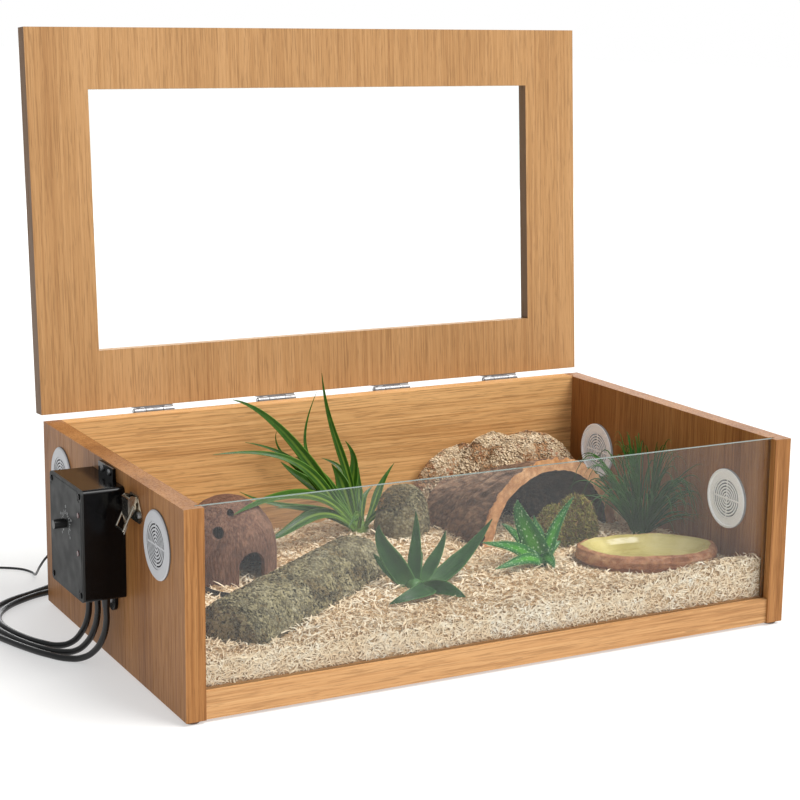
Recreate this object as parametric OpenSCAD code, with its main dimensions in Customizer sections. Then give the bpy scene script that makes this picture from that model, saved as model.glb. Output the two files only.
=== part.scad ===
// Wooden vivarium with a hinged glazed lid, a lift-out front glass, four vents,
// a thermostat on the left side, two toggle catches, heating and a furnished interior.
// Millimetres. X runs left to right, Y front to back, Z up. The origin is on the floor,
// under the middle of the cabinet. The lid is modelled leaning open at its stop.

/* [Cabinet] */
// Width over the two side panels
cab_w = 626; // [622:1:636]
// Depth from the front edges of the sides to the rear face
cab_d = 378; // [376:1:384]
// Height of the side panels, feet not counted
cab_h = 184; // [182:1:190]
// Thickness of the veneered board
board = 18; // [16:0.5:18]
// Height of the glide feet
foot_h = 3; // [2:0.5:4]
// Radius of a glide foot
foot_r = 6.5; // [5:0.5:8]
// Height of the rail under the front glass
rail_h = 24; // [22:1:26]
// Radius of the beech dowels
dowel_r = 4; // [3:0.5:4]
// Clearance of a dowel in its bore, on the radius
dowel_play = 0.05; // [0.02:0.01:0.1]

/* [Glass] */
// Thickness of the front glass
glass_t = 4; // [3:0.5:4]
// Clearance of the glass in its grooves, each side
glass_play = 0.3; // [0.3:0.05:0.5]
// Depth of the grooves in the side panels
groove_d = 5; // [4:0.5:6]

/* [Lid] */
// Angle at which the lid leans open
lid_open = 93.7; // [90:0.1:94]
// Width of the frame bars of the lid
lid_bar = 60; // [56:1:64]
// Width of the rebate that the glazing lies in
rebate_w = 7; // [5:1:10]
// Thickness of the lid glazing
glazing_t = 4; // [3:0.5:4]
// X of the four hinge middles
hinge_x = [-196, -59.5, 77, 213.5];
// Length of a hinge
hinge_l = 42; // [40:1:46]
// Radius of the hinge barrel
barrel_r = 3.3; // [2.8:0.1:3.4]
// Radius of the hinge pin
pin_r = 1.6; // [1.2:0.1:1.8]

/* [Vents] */
// Radius of the outer vent flange
vent_r = 30.5; // [29:0.5:32]
// Radius of the vent bore in the board
vent_bore_r = 25.05; // [25.05:0.01:25.1]
// Height of the vents in the left panel
left_vent_z = 141.8; // [138:0.1:146]
// Height of the vents in the right panel
right_vent_z = 112.9; // [108:0.1:118]

/* [Thermostat] */
// Width of the case along the side panel
th_w = 90; // [88:1:92]
// Height of the case
th_h = 102; // [100:1:104]
// Depth of the case without its cover
th_d = 38; // [38:1:40]
// Wall of the case
th_wall = 2.5; // [2:0.1:3]
// Radius of the dial shaft
shaft_r = 3; // [2.5:0.1:3]

/* [Catches] */
// Y of the catches
catch_y = -73.5; // [-76:0.5:-70]
// Radius of the wire of the loop
wire_r = 0.9; // [0.8:0.05:1]

/* [Furnishings] */
// Level of the bedding at the left
bed_z = 50; // [50:1:50]
// Level of the bedding at the right
bed_z2 = 54; // [54:1:54]
// Radius of the bark half tube
cork_r = 35; // [33:1:36]
// Height of the clay cave
cave_h = 79; // [76:1:82]

/* [Leads] */
// Radius of the three thermostat leads
lead_r = 3; // [2.8:0.1:3]
// Radius of the heat mat lead
mat_lead_r = 1.25; // [1.1:0.05:1.3]

/* [Hidden] */
$fn = 48;

hx = cab_w / 2;
hy = cab_d / 2;
zb = foot_h;
zt = foot_h + cab_h;
xi = hx - board;
yb = hy - board;
z_in = zb + board;
rail_y0 = -hy + 2;
rail_y1 = rail_y0 + board;
glass_y = -179;
pin_y = hy + 5;
pin_z = zt;
left_vents = [[-127.8, left_vent_z], [131.3, left_vent_z]];
right_vents = [[-118.3, right_vent_z], [115.3, right_vent_z]];
th_yc = -2;
th_zc = 123;
dial_y = -3;
dial_z = 135;
grommet_x = -266;
grommet_z = 62;
side_dowel_y = [-120, 0, 120];
back_dowel_z = [45, 95, 145];
cross_dowel_x = [-200, 0, 200];
ear_screws = [[3, 180.5], [-15, 180.5], [-14, 62]];
catch_screws = [[catch_y - 12.3, 158], [catch_y + 12.3, 158]];
gland_y = [20, -4, -28];
gland_x = -326;
lid_l = 2 * hx;

// ---------------------------------------------------------------- helpers
module xbore(x0, x1, y, z, r) translate([x0, y, z]) rotate([0, 90, 0]) cylinder(r = r, h = x1 - x0);
module ybore(x, y0, y1, z, r) translate([x, y1, z]) rotate([90, 0, 0]) cylinder(r = r, h = y1 - y0);
module zbore(x, y, z0, z1, r) translate([x, y, z0]) cylinder(r = r, h = z1 - z0);
module box3(x0, x1, y0, y1, z0, z1) translate([x0, y0, z0]) cube([x1 - x0, y1 - y0, z1 - z0]);
// local Z points out of the left side, local X up
module on_left(y, z, x = -hx) translate([x, y, z]) rotate([0, -90, 0]) children();
module rr(w, h, r) {
  square([w - 2 * r, h], center = true);
  square([w, h - 2 * r], center = true);
  for (a = [-1, 1], b = [-1, 1]) translate([a * (w / 2 - r), b * (h / 2 - r)]) circle(r = r);
}
module rod(p, q, r) {
  d = q - p;
  l = norm(d);
  translate(p) rotate([0, acos(d[2] / l), atan2(d[1], d[0])]) cylinder(r = r, h = l);
}
module yprism(y0, y1, pts) translate([0, y1, 0]) rotate([90, 0, 0]) linear_extrude(y1 - y0) polygon(pts);
module xplate(x0, x1, pts) translate([x1, 0, 0]) rotate([0, -90, 0]) linear_extrude(x1 - x0) polygon([for (p = pts) [p[1], p[0]]]);
function smooth(a, b, v) = let (t = min(1, max(0, (v - a) / (b - a)))) t * t * (3 - 2 * t);
function unit(v) = v / norm(v);
function tangent(p, i) = i == 0 ? unit(p[1] - p[0]) : i == len(p) - 1 ? unit(p[i] - p[i - 1])
  : unit(unit(p[i + 1] - p[i]) + unit(p[i] - p[i - 1]));
function flat_to(n, t) = unit(n - (n * t) * t);
function side_vectors(p, n, i = 0) = i == len(p) ? [] :
  let (m = flat_to(n, tangent(p, i))) concat([m], side_vectors(p, m, i + 1));
function quad(a, b, c, d) = [[a, b, c], [a, c, d]];
// a tube of n sides along the points p
module tube(p, r, n = 8) {
  v = side_vectors(p, [0.31, 0.9, 0.17]);
  pts = [for (i = [0:len(p) - 1]) let (t = tangent(p, i), m = v[i], c = cross(t, m))
    for (k = [0:n - 1]) p[i] + r * (cos(360 * k / n) * m + sin(360 * k / n) * c)];
  last = (len(p) - 1) * n;
  faces = concat(
    [for (i = [0:len(p) - 2], k = [0:n - 1]) let (a = i * n + k, b = i * n + (k + 1) % n)
      each quad(a, a + n, b + n, b)],
    [for (k = [1:n - 2]) [0, k, k + 1]],
    [for (k = [1:n - 2]) [last, last + k + 1, last + k]]);
  polyhedron(points = pts, faces = faces, convexity = 10);
}
// closed skin over stacked rings of n points each; rings run upwards, counter-clockwise from above
module stacked(rings, low, high) {
  n = len(rings[0]);
  m = len(rings);
  pts = concat([for (r = rings) each r], [low, high]);
  faces = concat(
    [for (i = [0:m - 2], k = [0:n - 1]) let (a = i * n + k, b = i * n + (k + 1) % n)
      each quad(a, a + n, b + n, b)],
    [for (k = [0:n - 1]) [m * n, k, (k + 1) % n]],
    [for (k = [0:n - 1]) [m * n + 1, (m - 1) * n + (k + 1) % n, (m - 1) * n + k]]);
  polyhedron(points = pts, faces = faces, convexity = 10);
}
// a rough lump: elliptical rings that shrink towards the top
module lump(c, rx, ry, z0, z1, turn = 0, n = 16, seed = 1) {
  prof = [[0.94, 0], [1, 0.16], [0.97, 0.38], [0.86, 0.6], [0.66, 0.79], [0.38, 0.93]];
  rings = [for (j = [0:len(prof) - 1]) [for (k = [0:n - 1])
    let (a = 360 * k / n, w = prof[j][0] * (0.94 + 0.06 * sin(a * 3 + seed * 57 + j * 40)))
      [c[0] + rx * w * cos(a) * cos(turn) - ry * w * sin(a) * sin(turn),
       c[1] + rx * w * cos(a) * sin(turn) + ry * w * sin(a) * cos(turn),
       z0 + (z1 - z0) * prof[j][1]]]];
  stacked(rings, [c[0], c[1], z0], [c[0], c[1], z1]);
}
// a strap leaf along a bent line from a over b to c; w is its greatest width
function bend3(a, b, c, t) = (1 - t) * (1 - t) * a + 2 * t * (1 - t) * b + t * t * c;
module leaf(a, b, c, w, th = 1.2, m = 7) {
  p = [for (i = [0:m]) bend3(a, b, c, i / m)];
  pts = [for (i = [0:m]) let (t = tangent(p, i),
      s = unit(cross(t, [0.02, 0.01, 1])), u = cross(s, t), f = i / m,
      hw = max(0.35, w / 2 * min(1, 0.22 + 2.6 * f) * min(1, 2.4 * (1 - f))), ht = th / 2)
      each [p[i] - hw * s, p[i] + ht * u, p[i] + hw * s, p[i] - ht * u]];
  faces = concat(
    [for (i = [0:m - 1], k = [0:3]) let (q = i * 4 + k, r = i * 4 + (k + 1) % 4)
      each quad(q, q + 4, r + 4, r)],
    quad(0, 1, 2, 3), quad(m * 4, m * 4 + 3, m * 4 + 2, m * 4 + 1));
  polyhedron(points = pts, faces = faces, convexity = 6);
}
// a plant: a low domed crown with one leaf per entry of [bearing, reach, height]
module plant(c, r, h, leaves, w, th) {
  n = 14;
  stacked([for (q = [[1, 0], [1, 0.45], [0.8, 0.8]]) [for (k = [0:n - 1])
    c + [r * q[0] * cos(360 * k / n), r * q[0] * sin(360 * k / n), h * q[1]]]], c, c + [0, 0, h]);
  for (l = leaves) let (d = [cos(l[0]), sin(l[0]), 0])
    leaf(c + r * 0.55 * d + [0, 0, h * 0.3], c + l[1] * 0.45 * d + [0, 0, l[2] * 1.2 + 8], c + l[1] * d + [0, 0, l[2]], w, th);
}
module pan_screw() {
  difference() {
    union() {
      cylinder(r = 3, h = 1.1);
      translate([0, 0, 1.1]) cylinder(r1 = 3, r2 = 2.2, h = 0.5);
      translate([0, 0, -12]) cylinder(r = 1.5, h = 12.05);
    }
    for (a = [0, 90]) rotate([0, 0, a]) translate([-1.7, -0.4, 0.9]) cube([3.4, 0.8, 2]);
  }
}

// ---------------------------------------------------------------- boards
module side_panel(vents, screws) {
  difference() {
    box3(-hx, -xi, -hy, hy, zb, zt);
    for (v = vents) xbore(-hx - 1, -xi + 1, v[0], v[1], vent_bore_r);
    for (z = back_dowel_z) xbore(-xi - 12.5, -xi + 1, yb + board / 2, z, dowel_r + dowel_play);
    for (y = side_dowel_y) xbore(-xi - 12.5, -xi + 1, y, zb + board / 2, dowel_r + dowel_play);
    xbore(-xi - 12.5, -xi + 1, rail_y0 + board / 2, zb + 8, dowel_r + dowel_play);
    for (s = screws) xbore(-hx - 1, -hx + 11.5, s[0], s[1], 1.55);
    box3(-xi - groove_d, -xi + 1, glass_y - glass_t / 2 - glass_play, glass_y + glass_t / 2 + glass_play, z_in, zt + 1);
  }
}
module left_side_panel() color([0.66, 0.47, 0.3]) side_panel(left_vents, concat(ear_screws, catch_screws));
module right_side_panel() color([0.66, 0.47, 0.3]) mirror([1, 0, 0]) side_panel(right_vents, catch_screws);
module back_panel() color([0.75, 0.55, 0.35]) difference() {
  box3(-xi, xi, yb, hy, zb, zt);
  for (z = back_dowel_z, s = [-1, 1]) xbore(s < 0 ? -xi - 1 : xi - 18.5, s < 0 ? -xi + 18.5 : xi + 1, yb + board / 2, z, dowel_r + dowel_play);
  for (x = cross_dowel_x) ybore(x, yb - 1, yb + 12.5, zb + board / 2, dowel_r + dowel_play);
  ybore(grommet_x, yb - 1, hy + 1, grommet_z, 10);
  for (x = hinge_x, s = [-13, 13]) ybore(x + s, hy - 11.5, hy + 1, zt - 11, 1.55);
}
module base_panel() color([0.7, 0.5, 0.32]) difference() {
  box3(-xi, xi, rail_y1, yb, zb, z_in);
  for (y = side_dowel_y, s = [-1, 1]) xbore(s < 0 ? -xi - 1 : xi - 18.5, s < 0 ? -xi + 18.5 : xi + 1, y, zb + board / 2, dowel_r + dowel_play);
  for (x = cross_dowel_x) {
    ybore(x, yb - 18.5, yb + 1, zb + board / 2, dowel_r + dowel_play);
    ybore(x, rail_y1 - 1, rail_y1 + 18.5, zb + board / 2, dowel_r + dowel_play);
  }
}
module front_rail() color([0.83, 0.62, 0.42]) difference() {
  box3(-xi, xi, rail_y0, rail_y1, zb, zb + rail_h);
  box3(-xi - 1, xi + 1, glass_y - glass_t / 2 - glass_play, glass_y + glass_t / 2 + glass_play, z_in, zb + rail_h + 1);
  for (s = [-1, 1]) xbore(s < 0 ? -xi - 1 : xi - 18.5, s < 0 ? -xi + 18.5 : xi + 1, rail_y0 + board / 2, zb + 8, dowel_r + dowel_play);
  for (x = cross_dowel_x) ybore(x, rail_y1 - 12.5, rail_y1 + 1, zb + board / 2, dowel_r + dowel_play);
}
module panel_dowels() color([0.85, 0.7, 0.5]) {
  for (s = [0, 1]) mirror([s, 0, 0]) {
    for (z = back_dowel_z) xbore(-xi - 12, -xi + 18, yb + board / 2, z, dowel_r);
    for (y = side_dowel_y) xbore(-xi - 12, -xi + 18, y, zb + board / 2, dowel_r);
    xbore(-xi - 12, -xi + 18, rail_y0 + board / 2, zb + 8, dowel_r);
  }
  for (x = cross_dowel_x) {
    ybore(x, yb - 18, yb + 12, zb + board / 2, dowel_r);
    ybore(x, rail_y1 - 12, rail_y1 + 18, zb + board / 2, dowel_r);
  }
}
module glide_feet() color([0.4, 0.26, 0.16])
  for (x = [-hx + 8.6, hx - 8.6], y = [-180, 178]) translate([x, y, 0]) {
    cylinder(r1 = foot_r - 0.8, r2 = foot_r, h = 0.8);
    translate([0, 0, 0.8]) cylinder(r = foot_r, h = foot_h - 0.8);
  }

// ---------------------------------------------------------------- vents and grommet
module grille(h) {
  for (r = [[18.9, 21.4], [15.85, 17.55], [12.85, 14.55], [9.85, 11.55], [6.85, 8.55], [3.85, 5.55]]) difference() {
    cylinder(r = r[1], h = h);
    translate([0, 0, -1]) cylinder(r = r[0], h = h + 2);
  }
  cylinder(r = 2.55, h = h);
  for (a = [0, 90]) rotate([0, 0, a]) translate([-21.4, -0.8, 0]) cube([42.8, 1.6, h]);
}
module vent() color([0.6, 0.6, 0.62]) {
  rotate_extrude() polygon([[21, 0], [23, 0], [23, -17.5], [25, -17.5], [25, 0], [vent_r, 0], [vent_r, 1.2], [vent_r - 1.2, 2.2], [21, 2.2]]);
  translate([0, 0, 0.3]) grille(1.4);
}
module vent_ring() {
  rotate_extrude() polygon([[20.9, -8], [22.9, -8], [22.9, 0], [30, 0], [30, 2.4], [29.2, 3], [27.8, 3], [27.3, 1.5], [20.9, 1.5]]);
  grille(1.2);
}
module left_front_vent() on_left(left_vents[0][0], left_vents[0][1]) vent();
module left_rear_vent() on_left(left_vents[1][0], left_vents[1][1]) vent();
module right_front_vent() mirror([1, 0, 0]) on_left(right_vents[0][0], right_vents[0][1]) vent();
module right_rear_vent() mirror([1, 0, 0]) on_left(right_vents[1][0], right_vents[1][1]) vent();
module inner_vent_rings() color([0.78, 0.78, 0.8]) {
  for (v = left_vents) translate([-xi, v[0], v[1]]) rotate([0, 90, 0]) vent_ring();
  for (v = right_vents) translate([xi, v[0], v[1]]) rotate([0, -90, 0]) vent_ring();
}
module cable_grommet() color([0.12, 0.12, 0.12]) translate([grommet_x, yb, grommet_z]) rotate([-90, 0, 0])
  rotate_extrude() polygon([[7, -1.5], [12, -1.5], [12, 0], [9.95, 0], [9.95, board], [12, board], [12, board + 1.5], [7, board + 1.5]]);

// ---------------------------------------------------------------- hinges and lid
module lid_place() translate([0, pin_y, pin_z]) rotate([-lid_open, 0, 0]) translate([0, -pin_y, -pin_z]) children();
module knuckle(x0, x1, up) difference() {
  union() {
    xbore(x0, x1, pin_y, pin_z, barrel_r);
    if (up) box3(x0, x1, hy + 0.2, pin_y, pin_z + 0.3, pin_z + barrel_r);
    else box3(x0, x1, hy + 0.2, pin_y, pin_z - barrel_r, pin_z - 0.3);
  }
  xbore(x0 - 1, x1 + 1, pin_y, pin_z, pin_r + 0.05);
}
module hinge_back_leaves() color([0.85, 0.85, 0.85]) for (x = hinge_x) {
  difference() {
    box3(x - hinge_l / 2, x + hinge_l / 2, hy, hy + 1.4, zt - 22, zt - 0.3);
    for (s = [-13, 13]) ybore(x + s, hy - 1, hy + 2, zt - 11, 1.6);
  }
  knuckle(x - hinge_l / 2, x - 9, false);
  knuckle(x + 10, x + hinge_l / 2, false);
}
module hinge_lid_leaves() color([0.85, 0.85, 0.85]) lid_place() for (x = hinge_x) {
  difference() {
    box3(x - hinge_l / 2, x + hinge_l / 2, hy, hy + 1.4, zt + 0.3, zt + board);
    for (s = [-13, 13]) ybore(x + s, hy - 1, hy + 2, zt + 10, 1.6);
  }
  knuckle(x - 8.5, x + 9.5, true);
}
module hinge_pins() color([0.8, 0.8, 0.8]) for (x = hinge_x) {
  xbore(x - hinge_l / 2 - 0.8, x + hinge_l / 2 + 0.8, pin_y, pin_z, pin_r);
  for (s = [-1, 1]) xbore(x + s * (hinge_l / 2 + 0.5) - 0.4, x + s * (hinge_l / 2 + 0.5) + 0.4, pin_y, pin_z, 2.3);
}
module lid_board() color([0.77, 0.57, 0.38]) lid_place() difference() {
  box3(-hx, hx, -hy, hy, zt, zt + board);
  box3(-hx + lid_bar + 2, hx - lid_bar - 2, -hy + lid_bar, hy - lid_bar, zt - 1, zt + board + 1);
  box3(-hx + lid_bar + 2 - rebate_w, hx - lid_bar - 2 + rebate_w, -hy + lid_bar - rebate_w, hy - lid_bar + rebate_w, zt + board - glazing_t, zt + board + 1);
  for (x = hinge_x, s = [-13, 13]) ybore(x + s, hy - 11.5, hy + 1, zt + 10, 1.55);
}
module lid_glazing() color([0.8, 0.88, 0.88, 0.35]) lid_place()
  box3(-hx + lid_bar + 2.5 - rebate_w, hx - lid_bar - 2.5 + rebate_w, -hy + lid_bar + 0.5 - rebate_w, hy - lid_bar - 0.5 + rebate_w, zt + board - glazing_t, zt + board - 0.2);
module lid_screws() color([0.75, 0.75, 0.75]) lid_place()
  for (x = hinge_x, s = [-13, 13]) translate([x + s, hy + 1.4, zt + 10]) rotate([-90, 0, 0]) pan_screw();
module cabinet_screws() color([0.75, 0.75, 0.75]) {
  for (x = hinge_x, s = [-13, 13]) translate([x + s, hy + 1.4, zt - 11]) rotate([-90, 0, 0]) pan_screw();
  for (s = ear_screws) on_left(s[0], s[1], -hx - 3) pan_screw();
  for (m = [0, 1]) mirror([m, 0, 0]) for (s = catch_screws) on_left(s[0], s[1], -hx - 1.2) pan_screw();
}
module front_glass() color([0.8, 0.9, 0.9, 0.3])
  box3(-xi - groove_d + 0.5, xi + groove_d - 0.5, glass_y - glass_t / 2, glass_y + glass_t / 2, z_in, zt - 0.5);

// ---------------------------------------------------------------- thermostat
module th() translate([-hx, th_yc, th_zc]) rotate([0, -90, 0]) children();
cs_x = th_h / 2 - 6;
cs_y = th_w / 2 - 6;
module thermostat_case() color([0.06, 0.06, 0.07]) difference() {
  union() {
    th() {
      difference() {
        linear_extrude(th_d) rr(th_h, th_w, 4);
        translate([0, 0, th_wall]) linear_extrude(th_d) rr(th_h - 2 * th_wall, th_w - 2 * th_wall, 2);
      }
      for (a = [-1, 1], b = [-1, 1]) translate([a * cs_x, b * cs_y, th_wall - 0.5]) cylinder(r = 4, h = th_d - th_wall + 0.5);
      for (x = [-35, 35], y = [-30, 30]) translate([x, y, th_wall - 0.5]) cylinder(r = 2.5, h = 13.4 + 0.1);
    }
    box3(-hx - 3, -hx, -24, 15, th_zc + th_h / 2 - 1, 185.5);
    box3(-hx - 3, -hx, -24, -4, 62, th_zc - th_h / 2 + 1);
    xbore(-hx - 3, -hx, -14, 62, 10);
  }
  for (a = [-1, 1], b = [-1, 1]) th() translate([a * cs_x, b * cs_y, th_d - 13]) cylinder(r = 1.45, h = 14);
  for (s = ear_screws) xbore(-hx - 4, -hx + 1, s[0], s[1], 1.6);
  for (y = gland_y) zbore(gland_x, y, 71, 72 + th_wall + 1, 3.15);
}
module thermostat_cover() color([0.28, 0.28, 0.28]) difference() {
  union() {
    th() translate([0, 0, th_d]) linear_extrude(2) rr(th_h, th_w, 4);
    th() translate([0, 0, th_d + 1.9]) linear_extrude(0.4) difference() {
      rr(th_h - 5, th_w - 5, 2);
      for (a = [-1, 1], b = [-1, 1]) translate([a * cs_x, b * cs_y]) circle(r = 5.5);
    }
  }
  for (a = [-1, 1], b = [-1, 1]) th() translate([a * cs_x, b * cs_y, th_d - 1]) cylinder(r = 1.5, h = 4);
  xbore(-hx - th_d - 4, -hx - th_d + 1, dial_y, dial_z, shaft_r + 0.05);
  for (p = [[-38.9, 150.8], [-36.3, 115.7]]) xbore(-hx - th_d - 4, -hx - th_d + 1, p[0], p[1], 2.55);
}
module cover_screws() color([0.05, 0.05, 0.05])
  for (a = [-1, 1], b = [-1, 1]) th() translate([a * cs_x, b * cs_y, th_d + 2]) difference() {
    union() {
      cylinder(r = 2.8, h = 0.8);
      translate([0, 0, 0.8]) cylinder(r1 = 2.8, r2 = 2, h = 0.4);
      translate([0, 0, -12]) cylinder(r = 1.4, h = 12.05);
    }
    for (q = [0, 90]) rotate([0, 0, q]) translate([-1.6, -0.35, 0.6]) cube([3.2, 0.7, 2]);
  }
module indicator_lenses() color([0.3, 0.1, 0.1])
  for (p = [[-38.9, 150.8], [-36.3, 115.7]]) {
    xbore(-hx - th_d - 3, -hx - th_d + 4, p[0], p[1], 2.5);
    xbore(-hx - th_d, -hx - th_d + 2.5, p[0], p[1], 3.4);
  }
board_x = -hx - th_wall - 12.9 - 0.1;
module circuit_board() color([0.1, 0.35, 0.2]) {
  difference() {
    box3(board_x - 1.6, board_x, -36, 32, 84, 162);
    xbore(board_x - 3, board_x + 1, dial_y, dial_z, shaft_r + 0.3);
  }
  difference() {
    xbore(board_x - 15.6, board_x - 1.6, dial_y, dial_z, 8);
    xbore(board_x - 17, board_x - 5.6, dial_y, dial_z, shaft_r + 0.05);
  }
  box3(board_x - 16.6, board_x - 1.6, -24, -5, 92, 112);
  box3(board_x - 11.6, board_x - 1.6, 2, 26, 90, 100);
  xbore(board_x - 13.6, board_x - 1.6, 18, 116, 5);
}
module dial_knob() color([0.05, 0.05, 0.05]) {
  xbore(-hx - th_d - 14, -hx - th_d - 2.6, dial_y, dial_z, 4);
  box3(-hx - th_d - 14, -hx - th_d - 4, dial_y - 0.6, dial_y + 0.6, dial_z, dial_z + 4.8);
  xbore(-hx - th_d - 3, board_x - 7.6, dial_y, dial_z, shaft_r);
}
module cable_glands() color([0.05, 0.05, 0.05]) for (y = gland_y) translate([gland_x, y, 0]) {
  translate([0, 0, 60]) cylinder(r1 = 3.4, r2 = 4.2, h = 12);
  translate([0, 0, 71.5]) cylinder(r = 3.1, h = 3.5);
  translate([0, 0, 72 + th_wall]) cylinder(r = 4.5, h = 1.5);
}

// ---------------------------------------------------------------- toggle catches
ax = -hx - 5.4;
az = 170;
bx = ax + 0.6;
bz = 165;
lx = ax - 9.1;
lz = 144.5;
module catch_base() difference() {
  union() {
    xplate(-hx - 1.2, -hx, [for (p = [[-9.5, 174], [9.5, 174], [19, 160], [19, 154], [14, 150], [-14, 150], [-19, 154], [-19, 160]]) [p[0] + catch_y, p[1]]]);
    for (s = [-1, 1]) {
      box3(ax, -hx - 0.6, catch_y + s * 6.1 - 0.4, catch_y + s * 6.1 + 0.4, az - 2.6, az + 2.6);
      ybore(ax, catch_y + s * 6.1 - 0.4, catch_y + s * 6.1 + 0.4, az, 2.6);
    }
  }
  ybore(ax, catch_y - 10, catch_y + 10, az, 1.05);
  for (s = catch_screws) xbore(-hx - 2, -hx + 1, s[0], s[1], 1.6);
}
module catch_lever() difference() {
  union() {
    xplate(ax - 4.1, ax - 3.1, [for (p = [[-8.1, 172], [8.1, 172], [8.1, 158], [3, 147], [-3, 147], [-8.1, 158]]) [p[0] + catch_y, p[1]]]);
    yprism(catch_y - 3, catch_y + 3, [[ax - 3.1, 147.5], [ax - 4.1, 147.5], [ax - 7.1, 140.3], [ax - 6.6, 139.5], [ax - 5.9, 139.9], [ax - 3.1, 146.6]]);
    for (s = [-1, 1]) {
      yprism(catch_y + s * 7.65 - 0.45, catch_y + s * 7.65 + 0.45, [[ax - 4.1, 172], [ax - 4.1, 154], [ax - 3.1, 154], [ax + 3, 162], [ax + 3, 170], [ax, 172]]);
      ybore(ax, catch_y + s * 7.65 - 0.45, catch_y + s * 7.65 + 0.45, az, 3.9);
    }
  }
  ybore(ax, catch_y - 10, catch_y + 10, az, 1.05);
  ybore(bx, catch_y - 10, catch_y + 10, bz, wire_r + 0.06);
}
module catch_loop() {
  w = 9.3;
  for (s = [-1, 1]) {
    rod([bx, catch_y + s * 6.9, bz], [bx, catch_y + s * w, bz], wire_r);
    rod([bx, catch_y + s * w, bz], [lx, catch_y + s * w, lz], wire_r);
    translate([bx, catch_y + s * w, bz]) sphere(r = wire_r);
    translate([lx, catch_y + s * w, lz]) sphere(r = wire_r);
  }
  rod([lx, catch_y - w, lz], [lx, catch_y + w, lz], wire_r);
}
module left_catch_base() color([0.7, 0.68, 0.64]) catch_base();
module right_catch_base() color([0.7, 0.68, 0.64]) mirror([1, 0, 0]) catch_base();
module left_catch_lever() color([0.75, 0.73, 0.7]) catch_lever();
module right_catch_lever() color([0.75, 0.73, 0.7]) mirror([1, 0, 0]) catch_lever();
module left_catch_loop() color([0.8, 0.8, 0.78]) catch_loop();
module right_catch_loop() color([0.8, 0.8, 0.78]) mirror([1, 0, 0]) catch_loop();
module catch_rivets() color([0.7, 0.7, 0.7]) for (m = [0, 1]) mirror([m, 0, 0])
  ybore(ax, catch_y - 8.1, catch_y + 8.1, az, 1);

// ---------------------------------------------------------------- heat mat and bedding
mat_x = -226;
mat_y = -10;
module heat_mat() color([0.1, 0.1, 0.11]) {
  box3(-240, 40, -150, 130, z_in, z_in + 1.6);
  box3(mat_x - 8, mat_x + 8, mat_y - 5, mat_y + 5, z_in + 1.5, z_in + 5);
}
// lines of the bedding's grid, closer where its level changes; two run along each edge of the mat
bed_x = [-xi, -242.5, -240.2, -150, -66, -54, -42, -30, -18, -6, 6, 18, 30, 40.2, 42.5, 50, 110, 135, 160, 190, 220, 250, 275, xi];
bed_y = [-176.7, -172.8, rail_y1, rail_y1 + 0.2, -160, -152.5, -150.2, -60, 0, 30, 42, 54, 66, 78, 90, 130.2, 132.5, yb];
function bed(x, y) = let (s = 60 * smooth(30, 90, y))
  bed_z + (bed_z2 - bed_z) * smooth(-5 - s, 45 - s, x) + 12 * smooth(110, 250, x) * smooth(-152.5, -172, y);
function bed_low(x, y) = y < rail_y1 + 0.1 ? zb + rail_h : (x > -240.3 && x < 40.3 && y > -150.3 && y < 130.3) ? z_in + 1.7 : z_in;
module bedding_block() {
  n = len(bed_x);
  m = len(bed_y);
  pts = concat([for (y = bed_y, x = bed_x) [x, y, bed(x, y)]], [for (y = bed_y, x = bed_x) [x, y, bed_low(x, y)]]);
  o = n * m;
  faces = concat(
    [for (j = [0:m - 2], i = [0:n - 2]) let (a = j * n + i) each [[a, a + n, a + n + 1], [a, a + n + 1, a + 1]]],
    [for (j = [0:m - 2], i = [0:n - 2]) let (a = o + j * n + i) each [[a, a + n + 1, a + n], [a, a + 1, a + n + 1]]],
    [for (i = [0:n - 2]) each quad(i, i + 1, o + i + 1, o + i)],
    [for (i = [0:n - 2]) let (a = (m - 1) * n + i) each quad(a + 1, a, o + a, o + a + 1)],
    [for (j = [0:m - 2]) let (a = j * n) each quad(a + n, a, o + a, o + a + n)],
    [for (j = [0:m - 2]) let (a = j * n + n - 1) each quad(a, a + n, o + a + n, o + a)]);
  polyhedron(points = pts, faces = faces, convexity = 10);
}
module substrate() color([0.89, 0.8, 0.67]) bedding_block();

// ---------------------------------------------------------------- leads
// the leads lie on the floor at their own radius and a little over
sensor_out = [[-326, 20, 60], [-326, 20, 50], [-327, 22, 36], [-331, 29, 20], [-338, 39, 8], [-348, 50, 3.2],
  [-360, 66, 3.2], [-369, 88, 3.2], [-375, 112, 3.2], [-377, 136, 3.2], [-372, 160, 3.2], [-358, 182, 3.2],
  [-336, 200, 3.2], [-308, 213, 3.2], [-280, 216, 3.2], [-240, 216, 3.2], [-180, 215, 3.2], [-140, 214, 3.2], [-120, 214, 3.2]];
sensor_in = [[-153, 247, 9.4], [-153.5, 236, 9.4], [-155.5, 225, 9.7], [-160, 215, 9.8], [-168, 207.5, 8.6], [-179, 203.8, 5.4], [-192, 203, 3.3], [-228, 203, 3.2],
  [-244, 203, 5], [-256, 204, 12], [-262, 205.5, 24], [-264, 206, 38], [-264, 205, 50], [-264, 200, 59],
  [-264, 192, 64.2], [-264, 180, 64.4], [-264, 168, 64], [-264, 156, 60.5], [-264, 142, 55.5], [-263, 126, 53.6],
  [-258, 104, 53.3], [-248, 80, 53.3], [-238, 56, 53.3], [-227, 30, 53.3], [-219, 6, 53.3], [-215, -12, 53.3], [-209, -24, 53.3]];
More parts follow.
